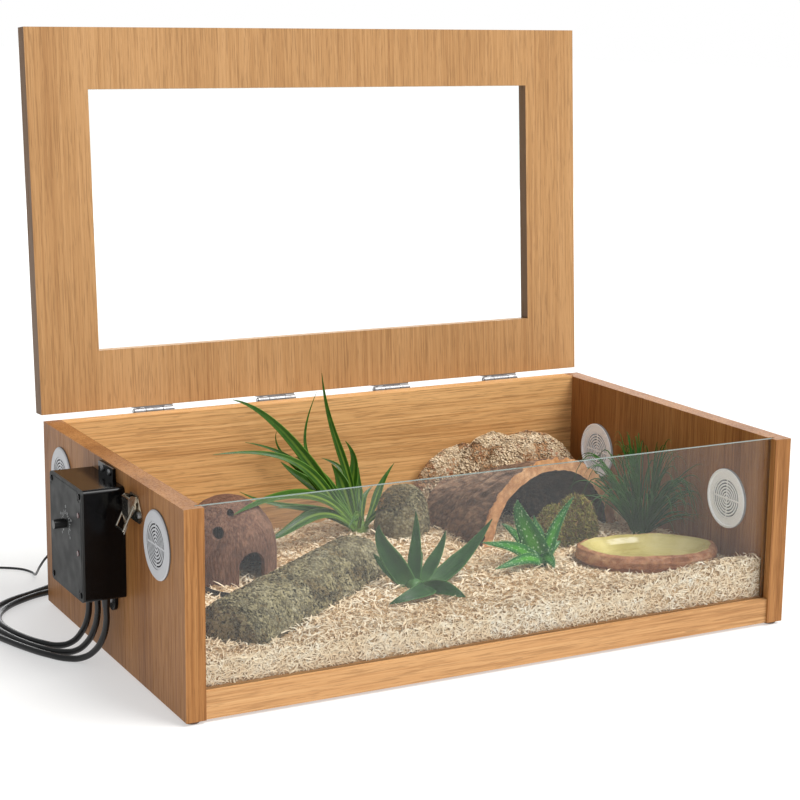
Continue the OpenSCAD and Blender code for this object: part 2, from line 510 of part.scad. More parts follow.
mains_out = [[-326, -4, 60], [-326, -4, 48], [-328, 0, 32], [-333, 9, 16], [-341, 20, 6], [-352, 32, 3.2],
  [-364, 50, 3.2], [-374, 74, 3.2], [-381, 100, 3.2], [-385, 128, 3.2], [-383, 156, 3.2], [-371, 182, 3.2],
  [-350, 202, 3.2], [-320, 218, 3.2], [-295, 234, 3.2], [-275, 255, 3.2], [-262, 276, 3.2], [-259, 290, 3.2]];
heater_out = [[-326, -28, 60], [-326, -28, 46], [-328, -23, 30], [-333, -13, 15], [-341, -1, 6], [-351, 11, 3.2],
  [-364, 30, 3.2], [-376, 56, 3.2], [-386, 84, 3.2], [-395, 114, 3.2], [-402, 144, 3.6], [-406, 168, 5.4], [-407, 190, 7]];
mat_out = [[-226, -10, 26], [-226, -10, 40], [-226, -10, 49], [-228, -7, 51.8], [-232, 0, 51.6], [-242, 16, 51.5],
  [-258, 40, 51.5], [-268, 68, 51.5], [-272, 104, 51.5], [-272, 136, 53], [-271, 156, 57.5], [-269.5, 171, 59],
  [-269.5, 190, 59], [-270, 200, 58.6], [-274, 207, 58], [-281, 211, 56], [-292, 218, 49], [-302, 226, 37], [-305, 240, 24],
  [-302, 262, 11], [-299, 280, 3], [-298, 294, 1.5], [-304, 309, 1.5], [-317, 321, 1.5], [-332, 329, 1.5], [-352, 332, 1.5], [-375, 331.5, 1.5]];
mat_back = [[-388.5, 318, 1.5], [-391, 306, 1.5], [-398, 292, 1.6], [-405, 274, 2.4], [-407, 254, 4.8], [-407, 233, 7]];
module ring_coil(c, r, w, h) color([0.05, 0.05, 0.05]) translate(c) rotate_extrude()
  translate([r, h / 2]) rr(w, h, min(w, h) / 2 - 0.5);
module sensor_lead() color([0.05, 0.05, 0.05]) tube(sensor_out, lead_r);
module sensor_lead_coil() ring_coil([-120, 247, 0.1], 33, 12.6, 12.4);
module sensor_lead_inside() color([0.05, 0.05, 0.05]) tube(sensor_in, lead_r);
module sensor_probe() color([0.08, 0.08, 0.08]) rod([-209, -24, 53.4], [-196, -44, 53.4], 3.3);
module mains_lead() color([0.05, 0.05, 0.05]) tube(mains_out, lead_r);
module mains_lead_coil() ring_coil([-225, 297, 0.1], 34, 18.8, 12.4);
module mains_plug() color([0.06, 0.06, 0.06]) {
  rod([-199, 331, 9.4], [-164, 331, 9.4], 3.6);
  translate([-190, 331, 9.4]) rotate([0, 90, 0]) cylinder(r1 = 3.7, r2 = 5, h = 26);
  translate([-140, 331, 0]) linear_extrude(20) rr(50, 48, 9);
  for (y = [320, 342]) box3(-136.2, -129.8, y - 2, y + 2, 19, 37.7);
  box3(-159, -155, 327, 335, 19, 42.7);
}
module heater_lead() color([0.05, 0.05, 0.05]) tube(heater_out, lead_r);
module heater_connector() color([0.07, 0.07, 0.07]) translate([-407, 211.5, 0]) linear_extrude(14) rr(18, 43, 4);
module mat_lead() color([0.06, 0.06, 0.06]) tube(mat_out, mat_lead_r);
module mat_lead_coil() ring_coil([-375, 318, 0.1], 13.5, 5.6, 7.6);
module mat_lead_end() color([0.06, 0.06, 0.06]) tube(mat_back, mat_lead_r);

// ---------------------------------------------------------------- furnishings
module water_bowl() color([0.62, 0.46, 0.36]) {
  prof = [[66, 41, 54], [71, 45, 57], [72.5, 46.5, 63], [70, 44.5, 68.3], [65, 40.5, 69.5], [59, 36, 68], [52, 30, 62.5], [44, 24, 59.5]];
  n = 32;
  stacked([for (p = prof) [for (k = [0:n - 1]) let (a = 360 * k / n, e = 1 + 0.02 * sin(5 * a))
    [214 + p[0] * e * cos(a) * cos(20) + p[1] * e * sin(a) * sin(20),
     -98 - p[0] * e * cos(a) * sin(20) + p[1] * e * sin(a) * cos(20), p[2]]]],
    [214, -98, 54], [214, -98, 59]);
}
module clay_cave() color([0.52, 0.42, 0.38]) translate([-176, 50, bed_z]) difference() {
  rotate_extrude($fn = 96) polygon([[0, cave_h], [8, cave_h - 0.6], [16, cave_h - 3], [24, cave_h - 7], [32, cave_h - 13.5], [38, cave_h - 21],
    [43, 50], [46.5, 38], [48, 26], [48, 0], [42, 0], [42, 26], [40.8, 37], [37.5, 47], [33, cave_h - 25], [27.5, cave_h - 18.5], [20.5, cave_h - 13], [13, cave_h - 9.5], [6, cave_h - 7.5], [0, cave_h - 7]]);
  translate([0, 0, -1]) rotate([90, 0, 8]) linear_extrude(70) {
    translate([-14, 0]) square([28, 20]);
    translate([0, 20]) circle(r = 14);
  }
  translate([0, 0, 52]) rotate([90, 0, -35]) translate([0, 0, 14]) cylinder(r = 6, h = 40);
  translate([0, 0, 68]) rotate([90, 0, -16]) translate([0, 0, 8]) cylinder(r = 3.5, h = 40);
}
// a point on the skin of the arch at one station
function arch_at(s, th, cut) = [172 - 66 * s[0] + (s[1] - cut) * cos(th) * cos(s[3]), 15 + 113 * s[0] + (s[1] - cut) * cos(th) * sin(s[3]), 54 + (s[2] - cut) * sin(th)];
module half_log_hide() color([0.5, 0.4, 0.32]) {
  st = [[0, 90, 84, 8, 13], [0.25, 80, 76, 12, 12.5], [0.5, 64, 65, 16.5, 11], [0.75, 47, 53, 21, 9.5], [1, 34, 42, 25, 8]];
  n = 14;
  pts = concat([for (s = st, i = [0:n]) arch_at(s, 180 * i / n, 0)], [for (s = st, i = [0:n]) arch_at(s, 180 * i / n, s[4])]);
  o = 5 * (n + 1);
  m = n + 1;
  faces = concat(
    [for (j = [0:3], i = [0:n - 1]) let (a = j * m + i) each quad(a, a + m, a + m + 1, a + 1)],
    [for (j = [0:3], i = [0:n - 1]) let (a = o + j * m + i) each quad(a, a + 1, a + m + 1, a + m)],
    [for (i = [0:n - 1]) each quad(i, i + 1, o + i + 1, o + i)],
    [for (i = [0:n - 1]) let (a = 4 * m + i) each quad(a, o + a, o + a + 1, a + 1)],
    [for (j = [0:3]) let (a = j * m) each quad(a, o + a, o + a + m, a + m)],
    [for (j = [0:3]) let (a = j * m + n) each quad(a, a + m, o + a + m, o + a)]);
  polyhedron(points = pts, faces = faces, convexity = 10);
}
module cork_mound() color([0.62, 0.56, 0.46]) {
  lump([217, 140], 68, 29, bed_z2, 138, 0, 18, 2);
  lump([146, 157], 62, 12, bed_z2, 127, 0, 16, 3);
}
module cork_log() color([0.58, 0.55, 0.45]) {
  l = 244;
  translate([-255, -137, bed_z]) rotate([0, 0, 36.35]) difference() {
    rotate([0, 90, 0]) cylinder(r = cork_r, h = l);
    translate([16, 0, 0]) rotate([0, 90, 0]) cylinder(r = cork_r - 7, h = l);
    translate([-1, -50, -50]) cube([l + 2, 100, 50]);
  }
}
module cork_piece() color([0.5, 0.38, 0.28]) lump([38, 92], 30, 24, bed_z2, 106, 0, 14, 5);
module spider_plant() color([0.3, 0.45, 0.2]) plant([2, 120, bed_z2], 13, 16, [
  [5, 58, 60], [20, 50, 104], [42, 46, 112], [68, 36, 124], [98, 36, 96], [131, 48, 118], [160, 140, 88], [187, 122, 118],
  [213, 112, 42], [240, 60, 92], [257, 44, 100], [272, 50, 58]], 9, 1.2);
module dark_agave() color([0.12, 0.25, 0.16]) plant([-35, -71, bed_z], 11, 14, [
  [0, 95, 50], [36, 50, 44], [72, 30, 42], [108, 28, 62], [146, 38, 40], [183, 52, 28], [220, 36, 24], [255, 34, 32],
  [289, 36, 36], [324, 44, 40]], 9, 1.6);
module spotted_aloe() color([0.45, 0.6, 0.3]) plant([112, -64, bed_z2], 10, 12, [
  [15, 24, 52], [60, 24, 44], [105, 20, 60], [150, 28, 46], [195, 34, 32], [240, 26, 34], [285, 22, 44], [330, 24, 50]], 7, 2);
module grass_plant() color([0.4, 0.5, 0.25]) plant([262, -18, bed_z2], 12, 10, [
  [5, 24, 74], [45, 18, 92], [87, 14, 86], [128, 18, 90], [170, 36, 68], [210, 32, 58], [250, 26, 56], [290, 24, 64], [328, 26, 60]], 4, 1.2);
module moss_clump() color([0.35, 0.42, 0.15]) {
  lump([184, -9], 26, 13, bed_z2, 100, 8, 12, 4);
  lump([163, -11], 18, 11, bed_z2, 84, 8, 12, 6);
}

left_side_panel();
right_side_panel();
back_panel();
base_panel();
front_rail();
panel_dowels();
glide_feet();
left_front_vent();
left_rear_vent();
right_front_vent();
right_rear_vent();
inner_vent_rings();
cable_grommet();
hinge_back_leaves();
hinge_pins();
cabinet_screws();
thermostat_case();
thermostat_cover();
cover_screws();
indicator_lenses();
circuit_board();
cable_glands();
left_catch_base();
right_catch_base();
catch_rivets();
heat_mat();
substrate();
mains_lead();
mains_lead_coil();
mains_plug();
heater_lead();
heater_connector();
mat_lead();
mat_lead_coil();
mat_lead_end();
sensor_lead();
sensor_lead_coil();
sensor_lead_inside();
sensor_probe();
lid_board();
lid_glazing();
hinge_lid_leaves();
lid_screws();
front_glass();
dial_knob();
left_catch_lever();
right_catch_lever();
left_catch_loop();
right_catch_loop();
water_bowl();
clay_cave();
half_log_hide();
cork_mound();
cork_log();
cork_piece();
spider_plant();
dark_agave();
spotted_aloe();
grass_plant();
moss_clump();
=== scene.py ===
import math

import bpy
import numpy as np
from mathutils import Matrix, Vector


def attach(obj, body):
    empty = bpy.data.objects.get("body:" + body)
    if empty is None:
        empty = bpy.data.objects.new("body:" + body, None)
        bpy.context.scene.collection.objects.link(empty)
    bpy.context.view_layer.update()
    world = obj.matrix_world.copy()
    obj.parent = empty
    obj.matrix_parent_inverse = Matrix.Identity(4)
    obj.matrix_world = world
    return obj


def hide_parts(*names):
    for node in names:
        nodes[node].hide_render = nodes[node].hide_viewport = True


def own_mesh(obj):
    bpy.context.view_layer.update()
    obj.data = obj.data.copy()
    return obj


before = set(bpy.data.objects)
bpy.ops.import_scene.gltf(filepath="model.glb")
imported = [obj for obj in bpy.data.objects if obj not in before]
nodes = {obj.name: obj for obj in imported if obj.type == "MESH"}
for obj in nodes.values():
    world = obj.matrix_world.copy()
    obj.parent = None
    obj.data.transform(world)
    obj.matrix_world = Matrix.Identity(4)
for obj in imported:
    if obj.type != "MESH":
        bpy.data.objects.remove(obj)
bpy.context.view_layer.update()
MM = 0.001
scene = bpy.context.scene
scene.view_settings.view_transform = "Standard"
scene.view_settings.look = "None"

# ------------------------------------------------------------------ camera
FOCAL, YAW, PITCH, ROLL = 1882.815, -0.486841, 0.201251, 0.010685
cam_data = bpy.data.cameras.new("camera")
cam_data.sensor_width = 36
cam_data.lens = FOCAL / 800 * 36
cam_data.clip_end = 60
cam = bpy.data.objects.new("camera", cam_data)
scene.collection.objects.link(cam)
fwd = Vector((-math.sin(YAW) * math.cos(PITCH), math.cos(YAW) * math.cos(PITCH), -math.sin(PITCH)))
right = Vector((math.cos(YAW), math.sin(YAW), 0))
up = right.cross(fwd)
r2 = math.cos(ROLL) * right + math.sin(ROLL) * up
u2 = -math.sin(ROLL) * right + math.cos(ROLL) * up
view = Matrix((r2, u2, -fwd)).transposed().to_4x4()
view.translation = Vector((-0.852007, -1.581474, 0.582987))
cam.matrix_world = view
scene.camera = cam


# ------------------------------------------------------------------ noise and meshes
def lattice(ix, iy, iz, seed):
    h = (ix * 374761393 + iy * 668265263 + iz * 1440662683 + seed * 1274126177) & 0xFFFFFFFF
    h = ((h ^ (h >> 13)) * 1274126177) & 0xFFFFFFFF
    return ((h ^ (h >> 16)) & 0xFFFF) / 65535.0


def vnoise(p, seed=0):
    """Smooth value noise from -1 to 1 at points p."""
    p = np.asarray(p, float)
    i = np.floor(p).astype(np.int64)
    f = p - i
    f = f * f * (3 - 2 * f)
    out = np.zeros(len(p))
    for dx in (0, 1):
        for dy in (0, 1):
            for dz in (0, 1):
                w = (f[:, 0] if dx else 1 - f[:, 0]) * (f[:, 1] if dy else 1 - f[:, 1]) * (f[:, 2] if dz else 1 - f[:, 2])
                out += w * lattice(i[:, 0] + dx, i[:, 1] + dy, i[:, 2] + dz, seed)
    return out * 2 - 1


def fbm(p, octaves=4, seed=0, gain=0.5):
    p, out, a, total = np.asarray(p, float), 0, 1.0, 0.0
    for k in range(octaves):
        out = out + a * vnoise(p * 2.03**k + 11.7 * k, seed + k)
        total += a
        a *= gain
    return out / total


def smooth(a, b, v):
    t = np.clip((v - a) / (b - a), 0, 1)
    return t * t * (3 - 2 * t)


def make(name, v, f, mats, body, uv=None, index=None, shade=True):
    """A mesh from points in millimetres and faces of one size, which rides on a body."""
    v, f = np.asarray(v, np.float32) * MM, np.asarray(f, np.int32)
    me = bpy.data.meshes.new(name)
    me.vertices.add(len(v))
    me.vertices.foreach_set("co", v.ravel())
    me.loops.add(f.size)
    me.loops.foreach_set("vertex_index", f.ravel())
    me.polygons.add(len(f))
    me.polygons.foreach_set("loop_start", np.arange(0, f.size, f.shape[1], dtype=np.int32))
    for m in mats:
        me.materials.append(m)
    if index is not None:
        me.polygons.foreach_set("material_index", np.asarray(index, np.int32))
    me.polygons.foreach_set("use_smooth", np.full(len(f), shade))
    if uv is not None:
        layer = me.uv_layers.new(name="UVMap")
        layer.data.foreach_set("uv", np.asarray(uv, np.float32)[f.ravel()].ravel())
    me.update(calc_edges=True)
    me.validate()
    ob = bpy.data.objects.new(name, me)
    scene.collection.objects.link(ob)
    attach(ob, body)
    return ob


def grid_faces(rows, cols, closed=False, flip=False):
    i, j = np.meshgrid(np.arange(rows - 1), np.arange(cols if closed else cols - 1), indexing="ij")
    a = (i * cols + j).ravel()
    b = (i * cols + (j + 1) % cols).ravel()
    f = np.stack([a, b, b + cols, a + cols], 1)
    return f[:, ::-1] if flip else f


def tris(f):
    """Quads as triangles."""
    return np.concatenate([f[:, [0, 1, 2]], f[:, [0, 2, 3]]])


# ------------------------------------------------------------------ materials
def rgb(r, g, b):
    def lin(x):
        x /= 255
        return x / 12.92 if x <= 0.04045 else ((x + 0.055) / 1.055) ** 2.4

    return (lin(r), lin(g), lin(b), 1.0)


class Finish:
    def __init__(self, name, rough=0.5, metal=0.0, ior=1.45):
        self.mat = bpy.data.materials.new(name)
        self.mat.use_nodes = True
        self.tree = self.mat.node_tree
        self.tree.nodes.clear()
        self.out = self.tree.nodes.new("ShaderNodeOutputMaterial")
        self.b = self.n("BsdfPrincipled", {"Roughness": rough, "Metallic": metal, "IOR": ior})
        self.link(self.b.outputs[0], self.out.inputs[0])

    def link(self, a, b):
        self.tree.links.new(a, b)

    def n(self, kind, sockets=None, **props):
        node = self.tree.nodes.new("ShaderNode" + kind)
        for k, v in props.items():
            setattr(node, k, v)
        for k, v in (sockets or {}).items():
            if isinstance(v, bpy.types.NodeSocket):
                self.link(v, node.inputs[k])
            else:
                node.inputs[k].default_value = v
        return node

    def at(self, scale=(1, 1, 1), turn=(0, 0, 0), move=(0, 0, 0), kind="Object"):
        v = self.n("TexCoord").outputs[kind]
        if any(turn):
            v = self.n("Mapping", {"Vector": v, "Rotation": turn}).outputs[0]
        return self.n("Mapping", {"Vector": v, "Scale": scale, "Location": move}).outputs[0]

    def noise(self, v, scale=1.0, detail=3.0, rough=0.5, twist=0.0):
        return self.n("TexNoise", {"Vector": v, "Scale": scale, "Detail": detail, "Roughness": rough, "Distortion": twist}).outputs[0]

    def ramp(self, fac, stops):
        node = self.n("ValToRGB", {"Fac": fac})
        e = node.color_ramp.elements
        while len(e) < len(stops):
            e.new(0.5)
        for k, (at, c) in enumerate(stops):
            e[k].position = at
            e[k].color = c if len(c) == 4 else (*c, 1)
        return node.outputs[0]

    def grey(self, fac, a, b, low=0.0, high=1.0):
        return self.n("MapRange", {"Value": fac, "From Min": a, "From Max": b, "To Min": low, "To Max": high}).outputs[0]

    def mix(self, fac, a, b, mode="MIX"):
        node = self.n("Mix", {0: fac}, data_type="RGBA", blend_type=mode)
        for k, v in ((6, a), (7, b)):
            if isinstance(v, bpy.types.NodeSocket):
                self.link(v, node.inputs[k])
            else:
                node.inputs[k].default_value = v
        return node.outputs[2]

    def math(self, op, a, b=0.0):
        return self.n("Math", {0: a, 1: b}, operation=op).outputs[0]

    def bump(self, height, strength, distance, normal=None):
        s = {"Height": height, "Strength": strength, "Distance": distance}
        if normal is not None:
            s["Normal"] = normal
        return self.n("Bump", s).outputs[0]

    def done(self, color=None, rough=None, normal=None):
        for k, v in (("Base Color", color), ("Roughness", rough), ("Normal", normal)):
            if v is None:
                continue
            if isinstance(v, bpy.types.NodeSocket):
                self.link(v, self.b.inputs[k])
            else:
                self.b.inputs[k].default_value = v
        return self.mat


def wood(name, grain, light, mid, dark, seed=0.0, tilt=0.0, wave=0.2, rough=0.45, x_face_shade=None, deep=0.4, long=1.0):
    """Veneer: soft bands, faint growth lines and short dark pores along one axis."""
    m = Finish(name, rough)
    m.b.inputs["Specular IOR Level"].default_value = 0.28

    def along(a, c):
        return {"x": (a, c, c), "y": (c, a, c), "z": (c, c, a)}[grain]

    def at(a, c, k):
        return m.at(along(a, c), (tilt, 0, 0), (seed + k, seed * 1.7 + k, seed * 0.6))

    bands = m.noise(at(0.9, 15, 0), 1.0, 3, 0.5, 0.35)
    lines = m.noise(at(2.6 / long, 330, 3), 1.0, 3, 0.55, 0.45)
    fine = m.noise(at(10, 640, 5), 1.0, 3, 0.65)
    pores = m.grey(m.noise(at(20, 620, 8), 1.0, 2, 0.5, 0.3), 0.55, 0.66)
    ticks = m.grey(m.noise(at(44, 1100, 9), 1.0, 2, 0.5), 0.58, 0.66)
    g = m.math("ADD", m.math("MULTIPLY", bands, 0.58 - wave), m.math("MULTIPLY", lines, wave + 0.1))
    g = m.math("ADD", g, m.math("MULTIPLY", fine, 0.32))
    colour = m.ramp(g, [(0.4, dark), (0.5, mid), (0.59, light)])
    shade = tuple(x * 0.55 for x in dark[:3]) + (1.0,)
    colour = m.mix(m.math("MULTIPLY", m.math("MAXIMUM", pores, ticks), deep), colour, shade)
    # painted shade: faces whose normal lies along x (the lid's outer ends and the reveals of its opening) are darkened
    # towards a dark brown, standing in for the shade they fall in
    if x_face_shade:
        normal = m.n("SeparateXYZ", {0: m.n("TexCoord").outputs["Normal"]})
        colour = m.mix(m.grey(m.math("ABSOLUTE", normal.outputs[0]), 0.6, 0.9, 0.0, x_face_shade), colour, tuple(x * 0.4 for x in dark[:3]) + (1.0,))
    height = m.math("SUBTRACT", m.math("MULTIPLY", fine, 0.5), pores)
    return m.done(colour, m.grey(pores, 0, 1, rough, rough + 0.2), m.bump(height, 0.3, 0.00018))


def plastic(name, colour, rough=0.35, fleck=0.06, grain=900.0, depth=0.00008, ior=1.5):
    m = Finish(name, rough, ior=ior)
    v = m.at()
    n1, n2 = m.noise(v, grain, 2), m.noise(v, 60, 3)
    c = m.mix(m.grey(n2, 0.3, 0.7), tuple(x * (1 - fleck) for x in colour[:3]) + (1,), tuple(min(1, x * (1 + fleck)) for x in colour[:3]) + (1,))
    return m.done(c, m.grey(n2, 0.3, 0.7, rough * 0.85, min(1, rough * 1.2)), m.bump(n1, 0.4, depth))


def grid_plastic(name, colour, rough, wall_shade):
    """A moulded vent: pale faces, and painted shade on the sides of the slots."""
    m = Finish(name, rough, ior=1.5)
    n1, n2 = m.noise(m.at(), 1500, 2), m.noise(m.at(), 60, 3)
    c = m.mix(m.grey(n2, 0.3, 0.7), tuple(x * 0.95 for x in colour[:3]) + (1,), colour)
    nx = m.math("ABSOLUTE", m.n("SeparateXYZ", {0: m.n("TexCoord").outputs["Normal"]}).outputs[0])
    # painted shade: faces whose normal lies across x (the sides of the slots) are darkened towards a near-black copy of
    # the colour
    c = m.mix(m.grey(nx, 0.05, 0.25, wall_shade, 0.0), c, tuple(x * 0.12 for x in colour[:3]) + (1,))
    return m.done(c, m.grey(n2, 0.3, 0.7, rough * 0.85, rough * 1.2), m.bump(n1, 0.4, 0.00008))


def metal(name, colour, rough, streak=(40, 900, 40)):
    m = Finish(name, rough, 1.0)
    n1, n2 = m.noise(m.at(streak), 1.0, 3, 0.6), m.noise(m.at(), 240, 3)
    c = m.mix(m.grey(n1, 0.35, 0.65), tuple(x * 0.8 for x in colour[:3]) + (1,), colour)
    return m.done(c, m.grey(n2, 0.3, 0.7, rough * 0.7, rough * 1.5), m.bump(n1, 0.12, 0.00008))


def glass(name, haze, edge, tint=(0.97, 0.99, 0.985, 1)):
    """A pane: clear, with mirror reflections, a film of haze, and a pale edge."""
    m = Finish(name)
    m.tree.nodes.remove(m.b)
    v = m.at()
    film = m.grey(m.noise(v, 9, 3), 0.3, 0.7, haze * 0.75, haze * 1.2)
    clear = m.n("BsdfTransparent", {"Color": tint}).outputs[0]
    shine = m.n("BsdfGlossy", {"Color": (1, 1, 1, 1), "Roughness": 0.03}).outputs[0]
    dust = m.n("BsdfDiffuse", {"Color": (0.74, 0.78, 0.8, 1)}).outputs[0]
    side = m.n("BsdfDiffuse", {"Color": edge}).outputs[0]
    graze = m.math("POWER", m.n("LayerWeight", {"Blend": 0.5}).outputs[1], 5.0)
    pane = m.n("MixShader", {0: m.grey(graze, 0, 1, 0.02, 0.8), 1: clear, 2: shine}).outputs[0]
    pane = m.n("MixShader", {0: film, 1: pane, 2: dust}).outputs[0]
    normal = m.n("SeparateXYZ", {0: m.n("TexCoord").outputs["Normal"]})
    flat = m.math("ADD", m.math("ABSOLUTE", normal.outputs[0]), m.math("ABSOLUTE", normal.outputs[2]))
    both = m.n("MixShader", {0: m.grey(flat, 0.5, 0.9, 0.0, 0.85), 1: pane, 2: side}).outputs[0]
    m.link(both, m.out.inputs[0])
    return m.mat


def bark(name, tones, scale=1.0, depth=0.0016, rough=0.85, stretch=(1, 1, 1), turn=(0, 0, 0), specks=None):
    m = Finish(name, rough)
    v = m.at(stretch, turn)
    big = m.noise(v, 42 * scale, 5, 0.65, 0.8)
    small = m.noise(v, 260 * scale, 5, 0.7, 0.4)
    cells = m.n("TexVoronoi", {"Vector": v, "Scale": 330 * scale, "Randomness": 1.0}, feature="F1").outputs[0]
    g = m.math("ADD", m.math("MULTIPLY", big, 0.5), m.math("MULTIPLY", small, 0.5))
    c = m.ramp(g, [(0.33 + 0.3 * k / (len(tones) - 1), t) for k, t in enumerate(tones)])
    c = m.mix(m.grey(cells, 0.25, 0.75, 0.0, 0.55), c, tones[0])
    if specks:
        spots = m.n("TexVoronoi", {"Vector": v, "Scale": 150 * scale}, feature="F1").outputs["Color"]
        one = m.n("SeparateColor", {0: spots}).outputs[0]
        for k, t in enumerate(specks):
            c = m.mix(m.grey(one, 0.93 - 0.16 * k, 0.95 - 0.16 * k, 0.0, 0.75), c, t) if k == 0 else m.mix(
                m.grey(m.n("SeparateColor", {0: spots}).outputs[k % 3], 0.86, 0.9, 0.0, 0.7), c, t
            )
    h = m.math("ADD", m.math("MULTIPLY", small, 0.8), m.math("MULTIPLY", cells, -0.5))
    return m.done(c, rough, m.bump(h, 0.9, depth))


def leafy(name, dark, light, edge, spots=None, streaks=30.0, rough=0.38, stripe=None, reach=0.14):
    """A leaf by its own UV: u across, v from root to tip."""
    m = Finish(name, rough, ior=1.34)
    uv = m.n("SeparateXYZ", {0: m.n("TexCoord").outputs["UV"]})
    u, w = uv.outputs[0], uv.outputs[1]
    lines = m.noise(m.at((streaks, 1.3, 1), kind="UV"), 1.0, 3, 0.6)
    blotch = m.noise(m.at(), 120, 3)
    c = m.ramp(m.math("ADD", m.math("MULTIPLY", lines, 0.7), m.math("MULTIPLY", blotch, 0.3)), [(0.36, dark), (0.64, light)])
    off = m.math("ABSOLUTE", m.math("SUBTRACT", u, 0.5))
    c = m.mix(m.grey(off, 0.36, 0.47, 0.0, 0.75), c, edge)
    if stripe:
        c = m.mix(m.math("MULTIPLY", m.grey(off, reach, reach * 0.35, 0.0, 0.7), m.grey(w, 0.8, 0.2)), c, stripe)
    c = m.mix(m.grey(w, 0.25, 0.0, 0.0, 0.6), c, tuple(min(1, x * 1.25 + 0.03) for x in edge[:3]) + (1,))
    if spots:
        cells = m.n("TexVoronoi", {"Vector": m.at((7, 17, 1), kind="UV"), "Scale": 1.0}, feature="F1").outputs[0]
        c = m.mix(m.grey(cells, 0.27, 0.18, 0.0, 0.8), c, spots)
    return m.done(c, m.grey(blotch, 0.3, 0.7, rough * 0.8, rough * 1.25), m.bump(lines, 0.25, 0.0003))


